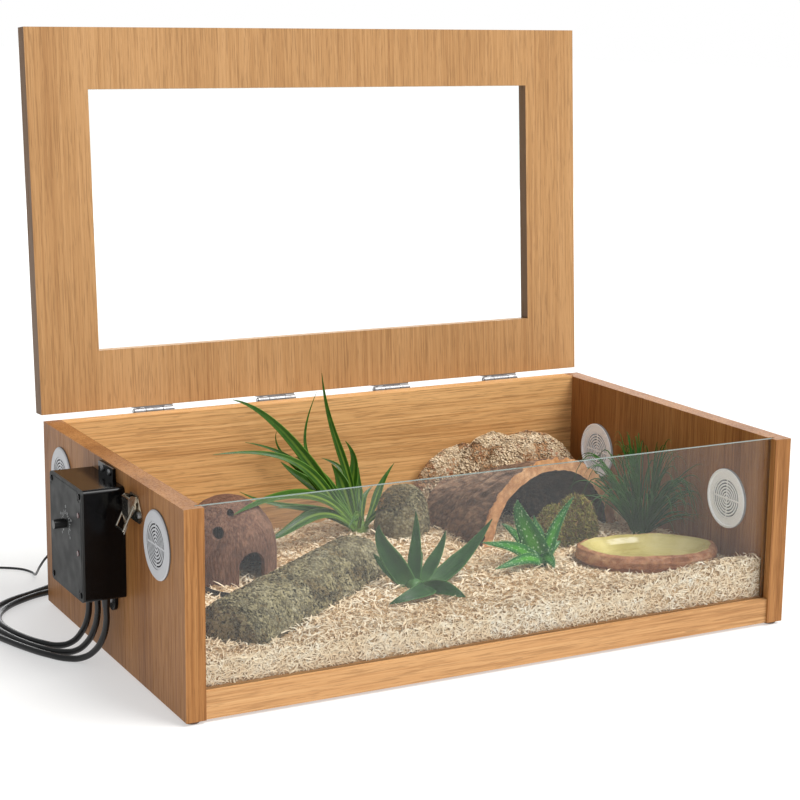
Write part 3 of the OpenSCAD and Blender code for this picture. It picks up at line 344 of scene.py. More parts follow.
mats = {
    "back": wood("veneer_back", "x", rgb(230, 181, 122), rgb(216, 166, 108), rgb(190, 139, 85), 1.3, wave=0.36, deep=0.48, long=1.5),
    "side": wood("veneer_sides", "z", rgb(177, 125, 73), rgb(161, 109, 60), rgb(134, 86, 43), 5.1, long=1.2),
    "lid": wood("veneer_lid", "y", rgb(194, 149, 101), rgb(184, 139, 91), rgb(167, 122, 77), 9.4, tilt=math.radians(93.7), wave=0.25, x_face_shade=0.97),
    "rail": wood("veneer_rail", "x", rgb(208, 161, 110), rgb(195, 146, 96), rgb(170, 122, 76), 3.7),
    "base": wood("veneer_base", "x", rgb(199, 155, 108), rgb(186, 142, 96), rgb(163, 120, 78), 7.9),
    "beech": wood("beech", "x", rgb(228, 198, 158), rgb(214, 180, 138), rgb(190, 152, 108), 2.2),
    "feet": plastic("brown_feet", rgb(96, 66, 44), 0.5),
    "vent": grid_plastic("vent_grey", rgb(206, 207, 210), 0.5, 0.84),
    "ring": grid_plastic("vent_white", rgb(252, 252, 253), 0.36, 0.94),
    "case": plastic("case_black", rgb(6, 6, 7), 0.15, 0.1, 700, 0.00003, 1.28),
    "label": plastic("label_grey", rgb(45, 46, 46), 0.55, 0.12, 1600, ior=1.35),
    "knob": plastic("knob_black", rgb(13, 13, 14), 0.3, 0.1, 1500),
    "screw_black": metal("blacked_screw", rgb(26, 26, 27), 0.35),
    "rubber": plastic("cord_black", rgb(15, 15, 16), 0.3, 0.12, 1300, 0.00005),
    "grommet": plastic("grommet_black", rgb(24, 24, 25), 0.6),
    "steel": metal("bright_steel", rgb(158, 158, 160), 0.42),
    "nickel": metal("nickel", rgb(198, 190, 176), 0.16, (30, 30, 12)),
    "board": plastic("circuit_green", rgb(28, 82, 48), 0.4),
    "mat": plastic("mat_black", rgb(30, 30, 32), 0.45),
    "brass": metal("pin_brass", rgb(206, 176, 120), 0.25),
    "ink": plastic("ink_white", rgb(178, 180, 180), 0.6),
    "clay": bark("fired_clay", [rgb(66, 44, 33), rgb(124, 86, 67), rgb(158, 118, 94)], 1.5, 0.0012, 0.9, (1, 1, 0.3)),
    "bed": bark("bedding", [rgb(170, 132, 88), rgb(210, 176, 130), rgb(232, 206, 164)], 1.5, 0.0014, 0.9),
    "strand": bark("shavings", [rgb(232, 204, 164), rgb(250, 232, 200), rgb(255, 250, 234)], 0.5, 0.0002, 0.75),
    "log": bark("log_bark", [rgb(50, 42, 28), rgb(106, 96, 68), rgb(150, 141, 108), rgb(186, 178, 148)], 0.9, 0.0022, 0.95),
    "log_in": bark("log_inside", [rgb(62, 44, 28), rgb(116, 86, 58), rgb(146, 112, 78)], 0.8, 0.001, 0.9),
    "flake": bark("flake_light", [rgb(124, 114, 78), rgb(160, 149, 112), rgb(190, 180, 148)], 0.9, 0.0004, 0.9),
    "flake_dark": bark("flake_dark", [rgb(84, 70, 46), rgb(128, 112, 76), rgb(158, 142, 102)], 0.9, 0.0004, 0.9),
    "hide": bark("hide_bark", [rgb(56, 40, 32), rgb(110, 84, 68), rgb(164, 129, 103), rgb(202, 171, 143)], 0.55, 0.0024, 0.85, (1.5, 0.45, 1), (0, 0, math.radians(-30))),
    "rim": bark("hide_rim", [rgb(168, 110, 66), rgb(214, 158, 108), rgb(230, 182, 136)], 0.5, 0.0006, 0.7),
    "hide_in": bark("hide_inside", [rgb(40, 30, 24), rgb(70, 54, 42), rgb(92, 72, 56)], 0.7, 0.001, 0.9),
    "mound": bark("mound_cork", [rgb(138, 108, 78), rgb(196, 166, 130), rgb(226, 202, 168), rgb(238, 220, 192)], 1.35, 0.0024, 0.95, specks=[rgb(88, 60, 40), rgb(178, 108, 72)]),
    "chip": bark("cork_chip", [rgb(198, 170, 132), rgb(228, 206, 172), rgb(242, 226, 200)], 1.2, 0.0004, 0.9),
    "chip_dark": bark("cork_chip_dark", [rgb(128, 92, 62), rgb(182, 138, 98), rgb(208, 158, 114)], 1.2, 0.0004, 0.9),
    "moss": bark("dry_moss", [rgb(92, 92, 34), rgb(146, 140, 62), rgb(184, 170, 96)], 1.0, 0.001, 0.95),
    "moss_brown": bark("old_moss", [rgb(80, 60, 30), rgb(140, 108, 62), rgb(176, 144, 92)], 1.0, 0.001, 0.95),
    "rock": bark("bowl_rock", [rgb(140, 84, 52), rgb(186, 128, 86), rgb(214, 166, 118)], 0.45, 0.0014, 0.5),
    "spider": leafy("leaf_striped", rgb(22, 58, 8), rgb(58, 102, 18), rgb(92, 132, 34), rough=0.34, stripe=rgb(142, 172, 58)),
    "agave": leafy("leaf_dark", rgb(16, 50, 22), rgb(48, 92, 40), rgb(78, 122, 62), streaks=16, rough=0.42),
    "aloe": leafy("leaf_bright", rgb(10, 76, 28), rgb(36, 120, 36), rgb(18, 84, 40), rgb(206, 232, 190), 9, 0.4, stripe=rgb(92, 176, 40), reach=0.3),
    "teeth": plastic("leaf_teeth", rgb(140, 184, 104), 0.4),
    "grass": leafy("leaf_grass", rgb(14, 54, 14), rgb(58, 104, 28), rgb(66, 112, 40), streaks=8, rough=0.5),
    "pane": glass("pane_front", 0.013, (0.22, 0.27, 0.25, 1), (0.945, 0.95, 0.95, 1)),
    "glazing": glass("pane_lid", 0.006, (0.3, 0.42, 0.38, 1)),
}
bowl_in = Finish("bowl_inside", 0.12)
bn = bowl_in.noise(bowl_in.at(), 26, 4, 0.6)
mats["bowl"] = bowl_in.done(
    bowl_in.ramp(bn, [(0.35, rgb(188, 172, 98)), (0.52, rgb(214, 199, 128)), (0.7, rgb(228, 214, 150))]),
    bowl_in.grey(bn, 0.3, 0.7, 0.1, 0.22),
    bowl_in.bump(bowl_in.noise(bowl_in.at(), 90, 3), 0.3, 0.0006),
)
lens = Finish("lens_red", 0.1)
mats["lens"] = lens.done(lens.mix(lens.noise(lens.at(), 700), rgb(60, 16, 16), rgb(92, 26, 24)), 0.1)

FINISH = {
    "back": ["back_panel"],
    "side": ["left_side_panel", "right_side_panel"],
    "lid": ["lid_board"],
    "rail": ["front_rail"],
    "base": ["base_panel"],
    "beech": ["panel_dowels"],
    "feet": ["glide_feet"],
    "vent": ["left_front_vent", "left_rear_vent", "right_front_vent", "right_rear_vent"],
    "ring": ["inner_vent_rings"],
    "grommet": ["cable_grommet"],
    "steel": ["hinge_back_leaves", "hinge_pins", "cabinet_screws", "hinge_lid_leaves", "lid_screws"],
    "case": ["thermostat_case"],
    "label": ["thermostat_cover"],
    "screw_black": ["cover_screws"],
    "lens": ["indicator_lenses"],
    "board": ["circuit_board"],
    "rubber": ["cable_glands", "mains_plug", "heater_connector", "sensor_probe"],
    "knob": ["dial_knob"],
    "nickel": ["left_catch_base", "right_catch_base", "catch_rivets", "left_catch_lever", "right_catch_lever", "left_catch_loop", "right_catch_loop"],
    "mat": ["heat_mat"],
    "pane": ["front_glass"],
    "glazing": ["lid_glazing"],
    "clay": ["clay_cave"],
}
# painted light: the white inner vent rings get a faint emission, so that they stay bright on the shaded inner face of
# the right panel
ring_painted_light = mats["ring"].node_tree.nodes["Principled BSDF"]
ring_painted_light.inputs["Emission Color"].default_value = (1, 1, 1, 1)
ring_painted_light.inputs["Emission Strength"].default_value = 0.1
for key, names in FINISH.items():
    for name in names:
        o = nodes[name]
        if not o.material_slots:
            o.data.materials.append(mats[key])
        for s in o.material_slots:
            s.material = mats[key]


# ------------------------------------------------------------------ cords
def cable(name, pts, r, body="cabinet"):
    cu = bpy.data.curves.new(name, "CURVE")
    cu.dimensions = "3D"
    cu.bevel_depth = r * MM
    cu.bevel_resolution = 3
    cu.resolution_u = 6
    cu.use_fill_caps = True
    sp = cu.splines.new("BEZIER")
    sp.bezier_points.add(len(pts) - 1)
    for b, p in zip(sp.bezier_points, pts):
        b.co = Vector(p) * MM
        b.handle_left_type = b.handle_right_type = "AUTO"
    cu.materials.append(mats["rubber"])
    ob = bpy.data.objects.new(name, cu)
    scene.collection.objects.link(ob)
    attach(ob, body)
    return ob


def coil(c, r, start, sense, turns, cells, per=16):
    out = []
    for i in range(int(round(turns * per)) + 1):
        t = i / per
        k = min(int(t), len(cells) - 1)
        w = float(smooth(0.78, 1.0, t - k)) if k + 1 < len(cells) else 0.0
        a, b = cells[k], cells[min(k + 1, len(cells) - 1)]
        dr, z = a[0] + (b[0] - a[0]) * w, a[1] + (b[1] - a[1]) * w
        g = math.radians(start + sense * 360 * t)
        out.append((c[0] + (r + dr) * math.cos(g), c[1] + (r + dr) * math.sin(g), z))
    return out


def tie(name, c, r, angle, w, h, wide, thick=0.7):
    """A band round a coil's bundle, at one angle."""
    g = math.radians(angle)
    d, t = np.array([math.cos(g), math.sin(g), 0]), np.array([-math.sin(g), math.cos(g), 0])
    mid = np.array([c[0], c[1], 0]) + r * d
    rings = []
    for off, grow in ((-wide / 2, 0.0), (-wide / 2, thick), (wide / 2, thick), (wide / 2, 0.0)):
        for k in range(24):
            a = 2 * math.pi * k / 24
            x = abs(math.cos(a)) ** 0.55 * math.copysign(1, math.cos(a)) * (w / 2 + grow)
            z = abs(math.sin(a)) ** 0.55 * math.copysign(1, math.sin(a)) * (h / 2 + grow)
            rings.append(mid + x * d + t * off + np.array([0, 0, max(h / 2 + z, 0.1)]))
    f = grid_faces(4, 24, closed=True)
    last = np.array([[72 + k, 72 + (k + 1) % 24, (k + 1) % 24, k] for k in range(24)])
    return make(name, rings, np.concatenate([f, last]), [mats["grommet"]], "cabinet")


SENSOR = [(-326, 20, 60), (-326, 20, 50), (-327, 22, 36), (-331, 29, 20), (-338, 39, 8), (-348, 50, 3.2), (-360, 66, 3.2), (-369, 88, 3.2),
    (-375, 112, 3.2), (-377, 136, 3.2), (-372, 160, 3.2), (-358, 182, 3.2), (-336, 200, 3.2), (-308, 213, 3.2), (-280, 216, 3.2),
    (-240, 216, 3.2), (-180, 214.5, 3.2), (-145, 211.6, 3.2)]
SENSOR_IN = [(-156, 236, 9.5), (-157, 225, 9.8), (-160.5, 215, 9.9), (-168, 207.5, 8.6), (-179, 203.8, 5.4), (-192, 203, 3.3), (-228, 203, 3.2),
    (-244, 203, 5), (-256, 204, 12), (-262, 205.5, 24), (-264, 206, 38), (-264, 205, 50), (-264, 200, 59), (-264, 192, 64.2),
    (-264, 180, 64.4), (-264, 168, 64), (-264, 156, 60.5), (-264, 142, 55.5), (-263, 126, 53.6), (-258, 104, 53.3), (-248, 80, 53.3),
    (-238, 56, 53.3), (-227, 30, 53.3), (-219, 6, 53.3), (-215, -12, 53.3), (-209, -24, 53.4)]
MAINS = [(-326, -4, 60), (-326, -4, 48), (-328, 0, 32), (-333, 9, 16), (-341, 20, 6), (-352, 32, 3.2), (-364, 50, 3.2), (-374, 74, 3.2),
    (-381, 100, 3.2), (-385, 128, 3.2), (-383, 156, 3.2), (-371, 182, 3.2), (-350, 202, 3.2), (-320, 218, 3.2), (-295, 234, 3.2),
    (-275, 255, 3.2), (-266.5, 276, 3.2)]
HEATER = [(-326, -28, 60), (-326, -28, 46), (-328, -23, 30), (-333, -13, 15), (-341, -1, 6), (-351, 11, 3.2), (-364, 30, 3.2),
    (-376, 56, 3.2), (-386, 84, 3.2), (-395, 114, 3.2), (-402, 144, 3.6), (-406, 168, 5.4), (-407, 190, 7)]
MAT = [(-226, -10, 26), (-226, -10, 40), (-226, -10, 49), (-228, -7, 51.8), (-232, 0, 51.6), (-242, 16, 51.5), (-258, 40, 51.5),
    (-268, 68, 51.5), (-272, 104, 51.5), (-272, 136, 53), (-271, 156, 57.5), (-269.5, 171, 59), (-269.5, 190, 59), (-270, 200, 58.6),
    (-274, 207, 58), (-281, 211, 56), (-292, 218, 49), (-302, 226, 37), (-305, 240, 24), (-302, 262, 11), (-299, 280, 3),
    (-298, 294, 1.5), (-304, 309, 1.5), (-317, 321, 1.5), (-332, 328.5, 1.5), (-352, 331, 1.5)]
MAT_BACK = [(-390.5, 307, 1.5), (-398, 292, 1.6), (-405, 274, 2.4), (-407, 254, 4.8), (-407, 233, 7)]

sensor = cable("sensor_cord", SENSOR + coil((-120, 247), 33, -90, 1, 3.75, [(3.1, 3.2), (-3.1, 3.2), (-3.1, 9.4), (3.1, 9.4)]) + SENSOR_IN, 3)
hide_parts("sensor_lead", "sensor_lead_coil", "sensor_lead_inside")
sensor_tie = tie("sensor_cord_tie", (-120, 247), 33, 20, 12.8, 12.5, 7)
mains = cable("mains_cord", MAINS + coil((-225, 297), 34, 180, -1, 5.25, [(6.2, 3.2), (0, 3.2), (-6.2, 3.2), (-6.2, 9.4), (6.2, 9.4), (0, 9.4)]) + [(-212, 331, 9.4), (-198, 331, 9.4)], 3)
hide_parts("mains_lead", "mains_lead_coil")
mains_tie = tie("mains_cord_tie", (-225, 297), 34, -35, 19.0, 12.5, 7)
heater = cable("heater_cord", HEATER, 3)
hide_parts("heater_lead")
mat_cells = [(-1.3, 1.5), (-1.3, 4.0), (-1.3, 6.5), (1.3, 6.5), (1.3, 4.0), (1.3, 1.5)]
mat_cord = cable("mat_cord", MAT + coil((-375, 318), 13.5, 90, 1, 5.25, mat_cells, 12) + MAT_BACK, 1.25)
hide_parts("mat_lead", "mat_lead_coil", "mat_lead_end")
mat_tie = tie("mat_cord_tie", (-375, 318), 13.5, -20, 5.8, 7.9, 4, 0.5)

# ------------------------------------------------------------------ dial scale on the label
DIAL = (-353.38, -3.0, 135.0)


def plate(name, polys, x, mat, body="cabinet"):
    """Thin flat marks that lie on the label, from outlines in (y, z)."""
    v, f = [], []
    for p in polys:
        k = len(v)
        v += [(x, y, z) for y, z in p] + [(x + 0.1, y, z) for y, z in p]
        f += [(k, k + 1, k + 2, k + 3), (k + 7, k + 6, k + 5, k + 4)]
        f += [(k + a, k + 4 + a, k + 4 + (a + 1) % 4, k + (a + 1) % 4) for a in range(4)]
    return make(name, v, f, [mat], body, shade=False)


marks = []
for k in range(21):
    g = math.radians(-135 + 13.5 * k)
    r0, r1, w = (9.6, 12.6, 0.28) if k % 2 == 0 else (9.6, 11.2, 0.18)
    s, c = math.sin(g), math.cos(g)
    quad = [(r0, -w), (r1, -w), (r1, w), (r0, w)]
    marks.append([(DIAL[1] - (r * s + t * c), DIAL[2] + (r * c - t * s)) for r, t in quad])
for k in range(54):
    g0, g1 = math.radians(-135 + 5 * k), math.radians(-135 + 5 * (k + 1))
    marks.append([(DIAL[1] - r * math.sin(g), DIAL[2] + r * math.cos(g)) for r, g in ((8.9, g0), (9.15, g0), (9.15, g1), (8.9, g1))])
plate("dial_scale", marks, DIAL[0], mats["ink"])
for k, word in enumerate(("15", "20", "25", "30", "35")):
    g = math.radians(-135 + 67.5 * k)
    cu = bpy.data.curves.new("dial_number_" + word, "FONT")
    cu.body, cu.size, cu.extrude, cu.align_x, cu.align_y = word, 3.1 * MM, 0.05 * MM, "CENTER", "CENTER"
    cu.materials.append(mats["ink"])
    ob = bpy.data.objects.new("dial_number_" + word, cu)
    scene.collection.objects.link(ob)
    place = Matrix(((0, 0, -1), (-1, 0, 0), (0, 1, 0))).to_4x4()
    place.translation = Vector((DIAL[0], DIAL[1] - 15.4 * math.sin(g), DIAL[2] + 15.4 * math.cos(g))) * MM
    ob.matrix_world = place
    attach(ob, "cabinet")


# ------------------------------------------------------------------ bedding
def bed_level(x, y):
    s = 60 * smooth(30, 90, y)
    return 50 + 4 * smooth(-5 - s, 45 - s, x) + 12 * smooth(110, 250, x) * smooth(-152.5, -172, y)


def by_bowl(x, y):
    """1 at the bowl's foot, 0 some way off."""
    c, s = math.cos(math.radians(20)), math.sin(math.radians(20))
    dx, dy = x - 214, y + 98
    return 1 - smooth(1.0, 1.32, np.sqrt(((dx * c - dy * s) / 72.5) ** 2 + ((dx * s + dy * c) / 46.5) ** 2))


def bed_top(x, y):
    p = np.stack([x / 26, y / 26, np.zeros_like(x)], 1)
    rim = np.minimum(1, np.minimum(294 - np.abs(x), np.minimum(y + 176.7, 171 - y)) / 6)
    return bed_level(x, y) + (1.6 * fbm(p, 3, 3) + 0.5 * fbm(p * 5, 2, 9)) * rim - 2.0 * by_bowl(x, y)


gx, gy = np.meshgrid(np.linspace(-294.9, 294.9, 220), np.concatenate([[-176.6], np.linspace(-175.5, 170.9, 130)]), indexing="ij")
x, y = gx.ravel(), gy.ravel()
z = bed_top(x, y)
rows, cols = gx.shape
v = np.stack([x, y, z], 1)
v[:, 1] = np.where(y < -176, -174.6, y)
f = grid_faces(rows, cols, flip=True)
edge = np.concatenate([np.arange(rows) * cols, (rows - 1) * cols + np.arange(1, cols), (np.arange(rows)[::-1] * cols + cols - 1)[1:], np.arange(cols)[::-1][1:-1]])
skirt = v[edge].copy()
skirt[:, 2] = np.where(skirt[:, 1] < -160, 27.1, 22.7)
n0 = len(v)
ne = len(edge)
wall = np.array([[edge[k], edge[(k + 1) % ne], n0 + (k + 1) % ne, n0 + k] for k in range(ne)])
bed = make("bedding", np.concatenate([v, skirt]), np.concatenate([f, wall]), [mats["bed"]], "cabinet")
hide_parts("substrate")

rng = np.random.default_rng(11)


def strips(at, length, width, heading, pitch, roll, curl, hook, k=4, frame3=None):
    """Thin curled ribbons, one per point: their points and faces."""
    n = len(at)
    s = np.linspace(-0.5, 0.5, k)
    X = length[:, None] * s
    Z = curl[:, None] * length[:, None] * (0.25 - s**2) * 1.2
    Y = hook[:, None] * length[:, None] * (s**2)
    half = width[:, None] / 2 * (1 - 0.75 * np.abs(2 * s) ** 3)
    p = np.stack([np.stack([X, Y - half, Z], -1), np.stack([X, Y + half, Z], -1)], 2)
    ch, sh, cp, sp_, cr, sr = np.cos(heading), np.sin(heading), np.cos(pitch), np.sin(pitch), np.cos(roll), np.sin(roll)
    zero, one = np.zeros(n), np.ones(n)

    def m3(rows3):
        return np.stack([np.stack(r, -1) for r in rows3], -2)

    rz = m3([[ch, -sh, zero], [sh, ch, zero], [zero, zero, one]])
    ry = m3([[cp, zero, sp_], [zero, one, zero], [-sp_, zero, cp]])
    rx = m3([[one, zero, zero], [zero, cr, -sr], [zero, sr, cr]])
    rot = rz @ ry @ rx
    if frame3 is not None:
        rot = np.einsum("ij,njk->nik", np.array(frame3, float), rot)
    p = np.einsum("nij,nksj->nksi", rot, p) + at[:, None, None, :]
    base = np.arange(n)[:, None] * (2 * k) + 2 * np.arange(k - 1)[None, :]
    f = np.stack([base, base + 1, base + 3, base + 2], -1).reshape(-1, 4)
    return p.reshape(-1, 3), f


def blocked(x, y):
    """Where a furnishing stands, so that no shaving does."""
    c, s = math.cos(math.radians(20)), math.sin(math.radians(20))
    dx, dy = x - 214, y + 98
    a, b = dx * c - dy * s, dx * s + dy * c
    out = (a / 73.5) ** 2 + (b / 47.5) ** 2 < 1
    d = np.hypot(x + 176, y - 50)
    out |= (d < 50) & (d > 40) & ~((np.abs(x + 170) < 12) & (y < 50))
    c, s = math.cos(math.radians(36.35)), math.sin(math.radians(36.35))
    t, w = (x + 255) * c + (y + 137) * s, np.abs(-(x + 255) * s + (y + 137) * c)
    out |= (t > -1) & (t < 245) & (w < 36) & (w > 20)
    for cx, cy, rx, ry in ((228, 135, 64, 33), (151, 157.5, 37, 11), (38, 92, 30, 24), (2, 120, 13, 13), (-35, -71, 11, 11), (112, -64, 10, 10), (262, -18, 12, 12), (184, -9, 26, 13), (163, -11, 18, 11)):
        out |= ((x - cx) / rx) ** 2 + ((y - cy) / ry) ** 2 < 1
    return out


n = 26000
x = rng.uniform(-291, 291, n)
y = -174.5 + 342 * rng.random(n) ** 1.12
keep = ~blocked(x, y)
x, y = x[keep], y[keep]
n = len(x)
L = np.clip(rng.lognormal(2.08, 0.42, n), 3, 19)
room = np.minimum(294 - np.abs(x), np.minimum(y + 176.2, 170 - y))
L = np.minimum(L, np.maximum(room * 1.8, 3))
at = np.stack([x, y, bed_top(x, y) + rng.uniform(0.0, 3.2, n) ** 1.1 * (1 - 0.7 * by_bowl(x, y))], 1)
pv, pf = strips(at, L, rng.uniform(0.7, 2.0, n), rng.uniform(0, 6.283, n), rng.normal(0, 0.36, n), rng.normal(0, 0.8, n), rng.normal(0.3, 0.4, n), rng.normal(0, 0.4, n))
pv[:, 0] = np.clip(pv[:, 0], -294.6, 294.6)
pv[:, 1] = np.clip(pv[:, 1], -176.6, 170.6)
n2 = 5200
x = rng.uniform(-292, 292, n2)
top = bed_level(x, np.full(n2, -176.0))
z = 28.5 + (top - 27.5) * rng.random(n2)
at = np.stack([x, np.full(n2, -176.5) + rng.uniform(0, 2.2, n2), z], 1)
qv, qf = strips(at, np.clip(rng.lognormal(1.9, 0.4, n2), 3, 13), rng.uniform(0.6, 1.7, n2), rng.normal(0, 0.9, n2), rng.normal(0, 0.05, n2), rng.normal(0, 0.25, n2), rng.normal(0, 0.1, n2), rng.normal(0, 0.5, n2), frame3=[[1, 0, 0], [0, 0, -1], [0, 1, 0]])
qv[:, 0] = np.clip(qv[:, 0], -294.6, 294.6)
qv[:, 1] = np.clip(qv[:, 1], -176.85, -172)
qv[:, 2] = np.maximum(qv[:, 2], 27.1)
sh = make("shavings", np.concatenate([pv, qv]), np.concatenate([pf, qf + len(pv)]), [mats["strand"]], "cabinet")


# ------------------------------------------------------------------ bark arches
def arch(name, node, body, centre, R, H, ang, wall, base, mats3, ns, nt, rough_out, ragged, axis_len, closed=False):
    """A curved piece of bark on its two edges: skin, inside and two ends."""
    s = np.linspace(0, 1, ns)
    th = np.linspace(0, math.pi, nt)
    S, T = np.meshgrid(s, th, indexing="ij")
    cx, cy = centre(S)
    a = ang(S)

    def skin(cut, d):
        rr, hh = R(S) - cut + d, H(S) - cut + d
        low = np.minimum(1, np.sin(T) * 6)
        return np.stack([cx + rr * np.cos(T) * np.cos(a), cy + rr * np.cos(T) * np.sin(a), base + np.maximum(hh * np.sin(T), 0) * (0.02 * (1 - low) + low * 1.0 + (1 - low) * 0.98)], -1)

    arc = T * (R(S) + H(S)) / 2
    d = rough_out(S * axis_len, arc)
    outer = skin(0, d)
    inner = skin(wall(S), 0.25 * d - 0.6 * np.abs(fbm(np.stack([S.ravel() * axis_len / 30, arc.ravel() / 12, 0 * arc.ravel()], 1), 3, 5)).reshape(S.shape))
    # the two ends are ragged
    ax = np.array([np.asarray(centre(np.array([1.0]))).ravel() - np.asarray(centre(np.array([0.0]))).ravel()]).ravel()
    ax = ax / np.linalg.norm(ax)
    for grid, amount in ((outer, ragged), (inner, ragged)):
        for row, sign in ((0, -1), (ns - 1, 1)):
            j = fbm(np.stack([arc[row] / 14, np.full(nt, row * 3.1), np.zeros(nt)], 1), 3, 21) * amount
            fade = np.exp(-np.abs(np.arange(ns) - row) / 2.0)
            grid[:, :, 0] += np.outer(fade, j * sign * ax[0])
            grid[:, :, 1] += np.outer(fade, j * sign * ax[1])
    steps = 5
    loops = []
    for k in range(ns):
        left = [outer[k, -1] + (inner[k, -1] - outer[k, -1]) * q / steps for q in range(1, steps)]
        rightp = [inner[k, 0] + (outer[k, 0] - inner[k, 0]) * q / steps for q in range(1, steps)]
        loops.append(np.concatenate([outer[k], np.array(left), inner[k][::-1], np.array(rightp)]))
    loops = np.array(loops)
    m = loops.shape[1]
    v = loops.reshape(-1, 3)
    f = grid_faces(ns, m, closed=True)
    kind = np.zeros((ns - 1, m), int)
    kind[:, nt + steps - 1 : 2 * nt + steps - 2] = 2
    kind[:, nt - 1 : nt + steps - 1] = 2
    kind[:, 2 * nt + steps - 2 :] = 2
    edge_noise = fbm(np.stack([arc[0] / 9, np.zeros(nt), np.zeros(nt)], 1), 3, 40)
    for j in range(nt - 1):
        reach = int(round(max(0, 1.2 + 2.2 * edge_noise[j])))
        kind[:reach, j] = 1
    extra_v, extra_f, extra_k = [], [], []
    start = len(v)
    for row, flip in ((0, False), (ns - 1, True)):
        o, i_ = outer[row], inner[row]
        if closed and row == 0:
            i_ = np.tile([[cx[0, 0], cy[0, 0], base + 0.3]], (nt, 1)) + 0.02 * (o - o.mean(0))
        blend = np.linspace(0, 1, 5)
        face = o[None] + (i_ - o)[None] * blend[:, None, None]
        bulge = (3.5 if closed and row == 0 else 0.8) * fbm(np.stack([np.tile(arc[row], 5) / 5, np.repeat(blend * 3, nt), np.zeros(5 * nt)], 1), 3, 60).reshape(5, nt)
        bulge[0] = bulge[-1] = 0
        sign = -1 if row == 0 else 1
        face[:, :, 0] += sign * bulge * ax[0]
        face[:, :, 1] += sign * bulge * ax[1]
        extra_v.append(face.reshape(-1, 3))
        extra_f.append(grid_faces(5, nt, flip=flip) + start)
        extra_k.append((0 if closed and row == 0 else 1) * np.ones((4) * (nt - 1), int))
        start += 5 * nt
    v = np.concatenate([v, *extra_v])
    f = np.concatenate([f, *extra_f])
    k = np.concatenate([kind.ravel(), *extra_k])
    ob = make(name, v, f, mats3, body, index=k)
    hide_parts(node)
    return ob


def ridged(u, w, seed, fine, coarse, su, sw):
    p = np.stack([u.ravel() / su, w.ravel() / sw, np.zeros(u.size)], 1)
    a = 1 - 2 * np.abs(fbm(p, 4, seed))
    b = fbm(p * 0.45, 3, seed + 9)
    return ((a - 0.55) * fine + b * coarse).reshape(u.shape)


st = np.array([[0, 90, 84, 8, 13], [0.25, 80, 76, 12, 12.5], [0.5, 64, 65, 16.5, 11], [0.75, 47, 53, 21, 9.5], [1, 34, 42, 25, 8]], float)
arch(
    "bark_half_log", "half_log_hide", "half_log_hide_body",
    lambda s: (172 - 66 * s, 15 + 113 * s),
    lambda s: np.interp(s, st[:, 0], st[:, 1]), lambda s: np.interp(s, st[:, 0], st[:, 2]),
    lambda s: np.radians(np.interp(s, st[:, 0], st[:, 3])), lambda s: np.interp(s, st[:, 0], st[:, 4]),
    54, [mats["hide"], mats["rim"], mats["hide_in"]], 110, 150,
    lambda u, w: np.minimum(ridged(u, w, 31, 3.2, 3.0, 42, 7) - 0.8, 2.2), 1.6, 131,
)
ca, sa = math.cos(math.radians(36.35)), math.sin(math.radians(36.35))
arch(
    "bark_log", "cork_log", "cork_log_body",
    lambda s: (-255 + 244 * s * ca, -137 + 244 * s * sa),
    lambda s: 35 + 0 * s, lambda s: 35 + 0 * s, lambda s: math.radians(-53.65) + 0 * s, lambda s: 7 + 0 * s,
    50, [mats["log"], mats["log_in"], mats["log_in"]], 190, 96,
    lambda u, w: np.minimum(ridged(u, w, 51, 2.6, 3.4, 13, 9) - 0.6, 2.4) - 12 * np.clip(1 - u / 13, 0, 1) ** 2.2, 1.8, 244, True,
)


def flakes(name, body, mats3, at, normal, along, L, W, lift, seed, jitter=0.9, k=4):
    """Small scales and fibres that lie on a rough skin."""
    r = np.random.default_rng(seed)
    n = len(at)
    nn = normal / np.linalg.norm(normal, axis=1)[:, None]
    t = along - (along * nn).sum(1)[:, None] * nn
    t /= np.maximum(np.linalg.norm(t, axis=1), 1e-6)[:, None]
    b = np.cross(nn, t)
    v, f = strips(np.zeros((n, 3)), L, W, r.normal(0, jitter, n), r.normal(0, 0.2, n), r.normal(0, 0.25, n), r.normal(0.1, 0.25, n), r.normal(0, 0.3, n), k=k)
    v = v.reshape(n, 2 * k, 3)
    v = v[:, :, 0:1] * t[:, None] + v[:, :, 1:2] * b[:, None] + (v[:, :, 2:3] + lift) * nn[:, None] + at[:, None]
    v = v.reshape(-1, 3)
    v[:, 2] = np.maximum(v[:, 2], 50.3)
    v[:, 1] = np.minimum(v[:, 1], 170.7)
    patch = fbm(at / 13, 3, seed + 2) * len(mats3) * 1.6 + len(mats3) / 2 + r.normal(0, 0.55, n)
    return make(name, v, f, mats3, body, index=np.repeat(np.clip(patch, 0, len(mats3) - 1).astype(int), k - 1))


m = 10500
u, th = rng.random(m), rng.uniform(0.03, math.pi - 0.03, m)
u[:500] *= 0.05
ax, ay = math.sin(math.radians(36.35)), -math.cos(math.radians(36.35))
rr = 35.2 - 12 * np.clip(1 - 244 * u / 13, 0, 1) ** 2.2
rr[:450] *= np.sqrt(rng.random(450))
u[:450] = -0.006
cx, cy = -255 + 244 * u * ca, -137 + 244 * u * sa
at = np.stack([cx + rr * np.cos(th) * ax, cy + rr * np.cos(th) * ay, 50 + rr * np.sin(th)], 1)
nrm = np.stack([np.cos(th) * ax, np.cos(th) * ay, np.sin(th)], 1)
alo = np.tile([[ca, sa, 0.0]], (m, 1))
nrm[:450], alo[:450] = [-ca, -sa, 0.1], [0, 0, 1.0]
flakes("log_flakes", "cork_log_body", [mats["flake_dark"], mats["log"], mats["log"], mats["flake"], mats["flake"]], at, nrm, alo, rng.uniform(1.5, 6, m), rng.uniform(0.5, 2.6, m), 0.35, 5, 1.2)
m = 3000
w, e = rng.uniform(0, 2 * math.pi, m), rng.uniform(0.05, 1.5, m)
